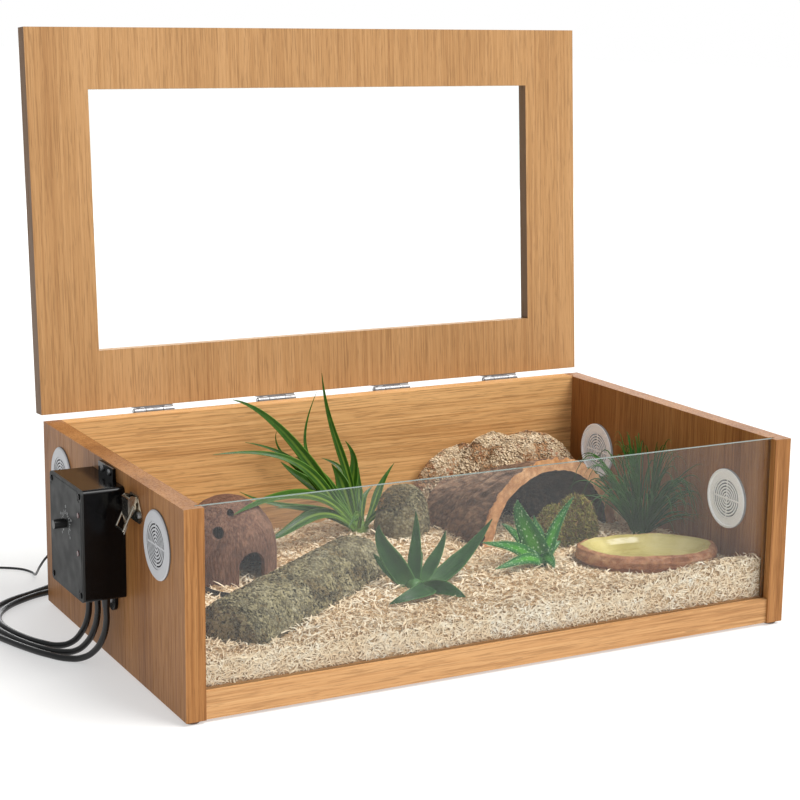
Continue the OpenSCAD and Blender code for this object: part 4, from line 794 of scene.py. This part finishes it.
at = np.stack([38 + 28.5 * np.sin(e) ** 0.7 * np.cos(w), 92 + 22.5 * np.sin(e) ** 0.7 * np.sin(w), 54 + 51 * np.cos(e) ** 0.75], 1)
flakes("lump_flakes", "cork_piece_body", [mats["flake_dark"], mats["log"], mats["flake"]], at, at - [38, 92, 54], np.tile([[0.0, 0.0, 1.0]], (m, 1)), rng.uniform(2, 6, m), rng.uniform(0.5, 2.0, m), 0.8, 6, 1.3)


# ------------------------------------------------------------------ lumps
PROF = np.array([[0.94, 0], [1, 0.16], [0.97, 0.38], [0.86, 0.6], [0.66, 0.79], [0.38, 0.93], [0.0, 1.0]])


def lump(c, rx, ry, z0, z1, turn=0.0, seed=1, nr=34, na=110, fine=1.4, coarse=3.0, size=9.0):
    t = np.linspace(0, 1, nr)
    pr = np.interp(t, np.linspace(0, 1, 7), PROF[:, 0])
    pz = np.interp(t, np.linspace(0, 1, 7), PROF[:, 1])
    a = np.linspace(0, 2 * math.pi, na, endpoint=False)
    Rr, A = np.meshgrid(pr, a, indexing="ij")
    Zz = np.repeat(pz[:, None], na, 1)
    q = np.stack([Rr * np.cos(A) * rx / size, Rr * np.sin(A) * ry / size, Zz * (z1 - z0) / size], -1).reshape(-1, 3)
    d = (fine * fbm(q * 2.2, 4, seed) + coarse * fbm(q * 0.6, 3, seed + 5)).reshape(Rr.shape)
    d = np.clip(d, -9, 2.2) - 0.6
    ct, st_ = math.cos(math.radians(turn)), math.sin(math.radians(turn))
    ex, ey = (rx + d) * Rr * np.cos(A), (ry + d * 0.8) * Rr * np.sin(A)
    zz = z0 + Zz * (z1 - z0) + d * Zz * 0.8
    zz[0] = z0 - 0.5
    return np.stack([c[0] + ex * ct - ey * st_, c[1] + ex * st_ + ey * ct, zz], -1).reshape(-1, 3), grid_faces(nr, na, closed=True)


def join(parts):
    v, f, k = [], [], 0
    for a, b in parts:
        v.append(a)
        f.append(b + k)
        k += len(a)
    return np.concatenate(v), np.concatenate(f)


v, f = join([lump((217, 140), 67, 28.5, 54, 137.5, seed=2, nr=50, na=180), lump((146, 157), 61, 11.5, 54, 126.5, seed=3, nr=46, na=150), lump((180, 151), 52, 17, 54, 138, seed=8, nr=44, na=150)])
v[:, 1] = np.minimum(v[:, 1], 170.6)
ob = make("cork_heap", v, f, [mats["mound"]], "cork_mound_body")
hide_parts("cork_mound")
for tag, c0, rx0, ry0, h0, m in (("heap_chips", (217, 140), 67, 28.5, 83.5, 8000), ("heap_chips_rear", (146, 157), 61, 11.5, 72.5, 4500), ("heap_chips_mid", (180, 151), 52, 17, 83.5, 4500)):
    w, tt = rng.uniform(0, 2 * math.pi, m), rng.random(m) ** 0.8
    pr0, pz0 = np.interp(tt, np.linspace(0, 1, 7), PROF[:, 0]), np.interp(tt, np.linspace(0, 1, 7), PROF[:, 1])
    at = np.stack([c0[0] + rx0 * pr0 * np.cos(w), c0[1] + ry0 * pr0 * np.sin(w), 54 + h0 * pz0], 1)
    out = np.stack([np.cos(w) / rx0, np.sin(w) / ry0, 0.05 * pz0 / (pr0 + 0.08) + 0 * w], 1)
    flakes(tag, "cork_mound_body", [mats["chip_dark"], mats["mound"], mats["chip"]], at, out, np.tile([[0.1, 0.0, 1.0]], (m, 1)), rng.uniform(1.2, 3.8, m), rng.uniform(0.8, 2.6, m), 0.3, 7, 1.6)
v, f = join([lump((38, 92), 29.5, 23.5, 54, 106, seed=5, nr=44, na=130, fine=3.0, coarse=13.0, size=12)])
ob = make("bark_lump", v, f, [mats["log"]], "cork_piece_body")
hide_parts("cork_piece")

# moss: two soft mounds under short bent threads
v, f = join([lump((184, -9), 24, 12, 54, 96, 8, seed=4, nr=24, na=60), lump((163, -11), 17, 10, 54, 81, 8, seed=6, nr=20, na=50)])
ob = make("moss_mounds", v, f, [mats["moss_brown"]], "moss_clump_body")
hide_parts("moss_clump")
pts = []
for c, rx, ry, h in (((184, -10), 29, 16, 48), ((160, -10), 26, 14, 40)):
    m = 5600 if h > 40 else 4200
    u, w = rng.random(m), rng.uniform(0, 2 * math.pi, m)
    e = np.arccos(u)
    px, py, pz = rx * np.sin(e) * np.cos(w), ry * np.sin(e) * np.sin(w), h * np.cos(e)
    ct, st_ = math.cos(math.radians(8)), math.sin(math.radians(8))
    pts.append(np.stack([c[0] + px * ct - py * st_, c[1] + px * st_ + py * ct, 55 + pz * rng.uniform(0.82, 1.02, m)], 1))
at = np.concatenate(pts)
m = len(at)
mv, mf = strips(at, rng.uniform(4, 10, m), rng.uniform(0.5, 1.3, m), rng.uniform(0, 6.283, m), rng.normal(0, 0.9, m), rng.normal(0, 0.9, m), rng.normal(0.2, 0.6, m), rng.normal(0, 0.6, m), k=4)
mv[:, 2] = np.maximum(mv[:, 2], 54.2)
ob = make("moss_threads", mv, mf, [mats["moss"], mats["moss_brown"]], "moss_clump_body", index=np.repeat((rng.random(m) < 0.35).astype(int), 3))

# ------------------------------------------------------------------ water bowl
prof = np.array([[66, 41, 54], [71, 45, 57], [72.5, 46.5, 63], [70, 44.5, 68.3], [65, 40.5, 69.5], [59, 36, 68], [52, 30, 62.5], [44, 24, 59.5], [25, 12, 59], [0.5, 0.5, 59]], float)
t = np.linspace(0, 9, 74)
pa, pb, pz = (np.interp(t, np.arange(10), prof[:, k]) for k in range(3))
na = 190
A = np.linspace(0, 2 * math.pi, na, endpoint=False)
Tg, Ag = np.meshgrid(t, A, indexing="ij")
e = 1 + 0.02 * np.sin(5 * Ag)
outside = 1 - smooth(3.6, 5.2, Tg)
q = np.stack([pa[:, None] * np.cos(Ag) / 14, pb[:, None] * np.sin(Ag) / 14, np.repeat(pz[:, None], na, 1) / 7], -1).reshape(-1, 3)
d = (np.clip(2.4 * fbm(q, 4, 77), -2, 1.2) * outside.ravel()).reshape(Tg.shape)
ea, eb = (pa[:, None] * e + d) * np.cos(Ag), (pb[:, None] * e + d) * np.sin(Ag)
c, s = math.cos(math.radians(20)), math.sin(math.radians(20))
zz = pz[:, None] + 0.5 * d * (pz[:, None] > 60)
zz[0] = 51.6
v = np.stack([214 + ea * c + eb * s, -98 - ea * s + eb * c, zz], -1).reshape(-1, 3)
f = grid_faces(len(t), na, closed=True)
shift = 3.9 + 0.45 * fbm(np.stack([np.cos(A) * 4, np.sin(A) * 4, 0 * A], 1), 3, 5)
kind = (t[:-1, None] > shift[None, :]).astype(int).ravel()
ob = make("bowl", v, f, [mats["rock"], mats["bowl"]], "water_bowl_body", index=kind)
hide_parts("water_bowl")


# ------------------------------------------------------------------ plants
def leaf(pts, width, thick, shape, fold=0.25, n=16, m=10, flat=0.0):
    """One leaf along four points from root to tip, with its UV."""
    p = np.array(pts, float)
    t = np.linspace(0, 1, n)[:, None]
    # a smooth line through the four points
    knots = np.array([0, 0.33, 0.67, 1.0])
    line = sum(p[i] * np.prod([(t - knots[j]) / (knots[i] - knots[j]) for j in range(4) if j != i], axis=0) for i in range(4))
    tan = np.gradient(line, axis=0)
    tan /= np.linalg.norm(tan, axis=1)[:, None]
    look = np.array([-852.0, -1581.0, 583.0]) - p[2]
    look = look / np.linalg.norm(look) + np.array([0.25 * math.sin(7 * p[3][0]), 0.0, 0.45])
    side = np.cross(tan, look)
    side /= np.maximum(np.linalg.norm(side, axis=1), 1e-6)[:, None]
    upv = np.cross(side, tan)
    tt = t.ravel()
    if shape == "strap":
        w = np.minimum(1, 0.5 + 1.4 * tt) * np.minimum(1, (1 - tt) * 1.9 + 0.02) ** 0.8
    elif shape == "spear":
        w = np.minimum(1, 0.74 + 1.1 * tt) * np.clip((1 - tt) * 1.75, 0.015, 1) ** 0.75
    else:
        w = np.minimum(1, 0.85 + 0.6 * tt) * np.clip(1 - tt, 0.01, 1) ** 0.72
    a = np.linspace(0, 2 * math.pi, m, endpoint=False)
    u = np.cos(a)
    body = np.sin(a)
    out = []
    for k in range(n):
        hw, ht = width / 2 * w[k], thick / 2 * (0.35 + 0.65 * w[k])
        out.append(line[k] + side[k] * (hw * u)[:, None] + upv[k] * (ht * body + fold * hw * (u**2 - 0.35))[:, None])
    v = np.array(out).reshape(-1, 3)
    uv = np.stack([np.tile((u + 1) / 2, n), np.repeat(tt, m)], 1)
    return v, grid_faces(n, m, closed=True), uv


def plant(name, node, body, leaves, mat, crown, bed):
    vs, fs, us, k = [], [], [], 0
    for args in leaves:
        v, f, uv = leaf(*args)
        vs.append(v)
        fs.append(f + k)
        us.append(uv)
        k += len(v)
    (cx, cy), r, h = crown
    t = np.linspace(0, 1, 8)[:, None]
    a = np.linspace(0, 2 * math.pi, 20, endpoint=False)[None]
    ring = r * np.sqrt(np.clip(1 - t**2, 0, 1)) * (1 + 0.06 * np.sin(5 * a))
    v = np.stack([cx + ring * np.cos(a), cy + ring * np.sin(a), bed + h * t + 0 * a], -1).reshape(-1, 3)
    vs.append(v)
    fs.append(grid_faces(8, 20, closed=True) + k)
    us.append(np.full((len(v), 2), 0.5) * [1, 0.02])
    v = np.concatenate(vs)
    v[:, 2] = np.maximum(v[:, 2], bed + 0.4)
    v[:, 1] = np.clip(v[:, 1], -174, 169.5)
    v[:, 0] = np.clip(v[:, 0], -291, 291)
    ob = make(name, v, np.concatenate(fs), [mat], body, uv=np.concatenate(us))
    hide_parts(node)
    return ob


SPIDER = [
    ([[-5.5, 114, 60], [-33.6, 125, 100.5], [-71.7, 135, 135.4], [-153.5, 140, 147.5]], 10.5),
    ([[-3.7, 118, 60], [-30.3, 132, 102.7], [-71.5, 150, 161.5], [-123.2, 160, 197.8]], 12.5),
    ([[-5.2, 120, 60], [-32, 138, 107.9], [-46.3, 150, 144.8], [-29.5, 158, 198.5]], 5),
    ([[-0.6, 121, 60], [-4.8, 135, 114.2], [-15.9, 148, 160.7], [-23.6, 158, 218]], 8.5),
    ([[0.4, 122, 60], [-0.1, 135, 94.5], [6.7, 142, 120], [-1.9, 146, 146]], 12),
    ([[-2.2, 121, 60], [-9.5, 130, 94.6], [-13.5, 136, 110.6], [-21.7, 138, 125]], 14),
    ([[9, 118, 60], [24.4, 128, 82.7], [35.5, 134, 99.5], [53.1, 140, 118]], 8.5),
    ([[-7.8, 114, 60], [-43.6, 104, 84.5], [-90.2, 104, 96], [-138.2, 108, 114.8]], 8),
    ([[-9, 112, 60], [-58, 88, 104], [-124.6, 48.7, 121.5], [-184, 14, 119]], 12.5),
    ([[-7.8, 112, 60], [-58.2, 90, 87.1], [-98, 77, 79], [-126.5, 69, 76]], 13),
    ([[-4.9, 119, 60], [-33.4, 135, 98.1], [-64.8, 155, 130.8], [-72.8, 163, 159.9]], 4.5),
    ([[-5.2, 116, 60], [-35.7, 130, 99.6], [-61.3, 148, 130.9], [-110.6, 158, 152.6]], 8),
    ([[0.4, 122, 60], [-3.4, 138, 102.3], [-10.2, 148, 120], [-26.7, 152, 129]], 7),
    ([[1.8, 122, 60], [8.1, 133, 85], [10, 138, 100.8], [11.9, 142, 117]], 8),
    ([[5.4, 120, 60], [9.1, 128, 77.5], [15.6, 134, 88.3], [27.3, 139, 95.7]], 7),
    ([[-9.1, 112, 60], [-43.2, 98, 81.4], [-74.9, 93, 94.2], [-106.4, 91, 98.2]], 9),
    ([[-6, 117, 60], [-30, 128, 92], [-54, 138, 112], [-76, 146, 131]], 15),
    ([[-4, 119, 60], [-22, 130, 96], [-40, 140, 120], [-58, 148, 134]], 11),
    ([[-8, 114, 60], [-34, 110, 78], [-56, 106, 86], [-76, 102, 84]], 10),
    ([[4, 112, 60], [12, 100, 76], [22, 90, 80], [34, 82, 72]], 8),
    ([[-3, 111, 60], [-10, 96, 78], [-20, 84, 82], [-34, 72, 74]], 8),
]
SPIDER = [(p, w, 0.7, "strap", 0.3, 24, 10) for p, w in SPIDER]
plant("spider_plant_leaves", "spider_plant", "spider_plant_body", SPIDER[:1] + SPIDER[4:], mats["spider"], ((2, 120), 11, 12), 54)
# the three leaves that stand above the box are kept as a mesh of their own
parts = [leaf(*a) for a in SPIDER[1:4]]
v, f = join([q[:2] for q in parts])
v[:, 1] = np.minimum(v[:, 1], 169.5)
tall = make("spider_plant_tall_leaves", v, f, [mats["spider"]], "spider_plant_body", uv=np.concatenate([q[2] for q in parts]))
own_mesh(tall)

AGAVE = [
    ([[-38, -69, 50], [-51.4, -66, 72], [-64.3, -62, 94.5], [-67.6, -60, 113.8]], 20),
    ([[-32, -69, 50], [-31.2, -64, 71], [-28.3, -61, 95.9], [-28.7, -60, 122.8]], 13.5),
    ([[-26, -69, 50], [-13, -62, 66], [-0.5, -57, 80], [8.9, -52, 97]], 13),
    ([[-22, -71, 50], [5, -69, 64], [29.5, -67, 82], [52.6, -66, 107]], 17),
    ([[-33, -78, 52], [-38, -103, 60], [-62, -118, 61], [-86, -118, 55]], 18),
    ([[-31, -79, 52], [-28, -106, 60], [-22, -124, 60], [-12, -129, 55]], 15),
    ([[-30, -66, 50], [-24, -54, 62], [-17, -47, 70], [-11.7, -43, 76]], 11),
    ([[-40, -66, 50], [-50, -54, 62], [-58, -46, 72], [-63, -40, 80]], 10),
]
plant("agave_leaves", "dark_agave", "dark_agave_body", [(p, w, 2.6, "spear", 0.3, 20, 12) for p, w in AGAVE], mats["agave"], ((-35, -71), 9, 10), 50)

ALOE = [
    ([[111, -64, 56], [98.6, -62, 82], [88.3, -60.5, 104.1], [84.2, -60, 121]], 30),
    ([[114, -63, 56], [125.7, -59, 78], [138.2, -56, 97.1], [152.4, -56, 115.9]], 17),
    ([[113, -60, 56], [118.1, -48, 76], [117.5, -43, 86.1], [116.2, -40, 97]], 16),
    ([[107, -65, 57], [81.7, -67, 73], [61.6, -70, 80.5], [35.6, -76, 87.9]], 17),
    ([[107, -68, 57], [84.2, -80, 66], [63.1, -87, 66.4], [41.3, -92, 65.1]], 16),
    ([[111, -69, 57], [110, -78, 62.7], [109.3, -86, 61.7], [108.5, -92, 57.2]], 17),
    ([[116, -62, 57], [127, -55, 63.2], [135.9, -51, 66.9], [142.1, -50, 70]], 12),
    ([[110, -60, 56], [100, -48, 72], [90, -42, 84], [80, -38, 92]], 15),
]
plant("aloe_leaves", "spotted_aloe", "spotted_aloe_body", [(p, w, 4.5, "cone", 0.3, 22, 12) for p, w in ALOE], mats["aloe"], ((112, -64), 9, 9), 54)

blades = []
for k in range(185):
    g = rng.uniform(0, 2 * math.pi)
    d = np.array([math.cos(g), math.sin(g)])
    if d[0] > 0.3:
        d = np.array([0.3, math.copysign(0.954, d[1])])
    far = rng.uniform(14, 82)
    tall = rng.uniform(42, 114) * (1 - 0.3 * (far / 82) ** 2)
    droop = rng.uniform(0.3, 1.0) if far > 34 else rng.uniform(0.85, 1.06)
    root = np.array([262, -18]) + d * rng.uniform(1, 9)
    bend = np.array([-d[1], d[0]]) * rng.normal(0, 9)
    a = root + d * far * 0.27
    b = root + d * far * 0.66 + bend * 0.5
    c = root + d * far + bend
    c[0], b[0] = min(c[0], 290), min(b[0], 290)
    blades.append(([[*root, 55], [*a, 54 + tall * 0.5], [*b, 54 + tall * 0.92], [*c, 54 + tall * droop]], rng.uniform(0.9, 2.0), 0.5, "strap", 0.3, 16, 6))
plant("grass_leaves", "grass_plant", "grass_plant_body", blades, mats["grass"], ((262, -18), 10, 8), 54)


tv, tf = [], []
for p, w in ALOE:
    v, f, uv = leaf(p, w, 4.5, "cone", 0.3, 40, 12)
    ring = v.reshape(40, 12, 3)
    for k in range(3, 36, 2):
        mid = ring[k].mean(0)
        for q in (0, 6):
            a, b = ring[k, q], ring[k + 1, q]
            out = (a - mid) / np.linalg.norm(a - mid)
            tip = (a + b) / 2 + out * 1.2
            n0 = len(tv)
            tv += [a - out * 0.4, b - out * 0.4, tip + (b - a) * 0.06, tip - (b - a) * 0.06]
            tf.append([n0, n0 + 1, n0 + 2, n0 + 3])
make("aloe_teeth", tv, tf, [mats["teeth"]], "spotted_aloe_body")


SLOT = {
    "black_rubber": ["sensor_cord", "sensor_cord_tie", "mains_cord", "mains_cord_tie", "heater_cord", "mat_cord", "mat_cord_tie"],
    "label_grey": ["dial_scale"] + ["dial_number_" + w for w in ("15", "20", "25", "30", "35")],
    "shavings": ["bedding", "shavings"],
    "resin_bark": ["bark_half_log", "bark_lump", "lump_flakes"],
    "cork": ["bark_log", "log_flakes"],
    "speckled_cork": ["cork_heap", "heap_chips", "heap_chips_rear", "heap_chips_mid"],
    "moss": ["moss_mounds", "moss_threads"],
    "rock_resin": ["bowl"],
    "leaf_green": ["spider_plant_leaves", "spider_plant_tall_leaves", "grass_leaves"],
    "leaf_dark": ["agave_leaves"],
    "leaf_bright": ["aloe_leaves", "aloe_teeth"],
}
for key, names in SLOT.items():
    for name in names:
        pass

# ------------------------------------------------------------------ floor and light
fm = Finish("floor_pale", 0.75)
fn = fm.noise(fm.at(), 1.4, 3)
floor_mat = fm.done(fm.mix(fn, rgb(184, 184, 183), rgb(190, 190, 189)), 0.75)
fm.b.inputs["Emission Color"].default_value = (1, 1, 1, 1)
fm.b.inputs["Emission Strength"].default_value = 0.48
me = bpy.data.meshes.new("floor")
me.from_pydata([(-14, -8, 0), (14, -8, 0), (14, 30, 0), (-14, 30, 0)], [], [(0, 1, 2, 3)])
me.materials.append(floor_mat)
floor = bpy.data.objects.new("floor", me)
scene.collection.objects.link(floor)

sun = bpy.data.lights.new("key", "SUN")
sun.energy, sun.angle, sun.color = 3.2, math.radians(34), (1.0, 0.99, 0.97)
key = bpy.data.objects.new("key", sun)
scene.collection.objects.link(key)
key.rotation_euler = Vector((-0.54, 0.52, -1.05)).to_track_quat("-Z", "Y").to_euler()
area = bpy.data.lights.new("fill", "AREA")
area.energy, area.size, area.color = 12, 1.4, (0.98, 0.99, 1.0)
fill = bpy.data.objects.new("fill", area)
scene.collection.objects.link(fill)
fill.location = (0.3, -2.4, 1.7)
fill.rotation_euler = (Vector((0.0, 0, 0.15)) - fill.location).to_track_quat("-Z", "Y").to_euler()
rear = bpy.data.lights.new("sheen", "AREA")
rear.energy, rear.shape, rear.size, rear.size_y = 60, "RECTANGLE", 5.0, 1.4
sheen = bpy.data.objects.new("sheen", rear)
scene.collection.objects.link(sheen)
sheen.location = (1.9, 4.2, 1.2)
sheen.rotation_euler = (Vector((0.0, 0, 0.2)) - sheen.location).to_track_quat("-Z", "Y").to_euler()
sheen.visible_camera = False
world = bpy.data.worlds.new("world")
scene.world = world
world.use_nodes = True
wn = world.node_tree
wn.nodes.clear()
wo = wn.nodes.new("ShaderNodeOutputWorld")
soft = wn.nodes.new("ShaderNodeBackground")
soft.inputs[0].default_value = (0.97, 0.985, 1.0, 1)
soft.inputs[1].default_value = 0.46
seen = wn.nodes.new("ShaderNodeBackground")
seen.inputs[0].default_value = (1, 1, 1, 1)
seen.inputs[1].default_value = 1.0
pick = wn.nodes.new("ShaderNodeMixShader")
path = wn.nodes.new("ShaderNodeLightPath")
wn.links.new(path.outputs["Is Camera Ray"], pick.inputs[0])
wn.links.new(soft.outputs[0], pick.inputs[1])
wn.links.new(seen.outputs[0], pick.inputs[2])
wn.links.new(pick.outputs[0], wo.inputs[0])
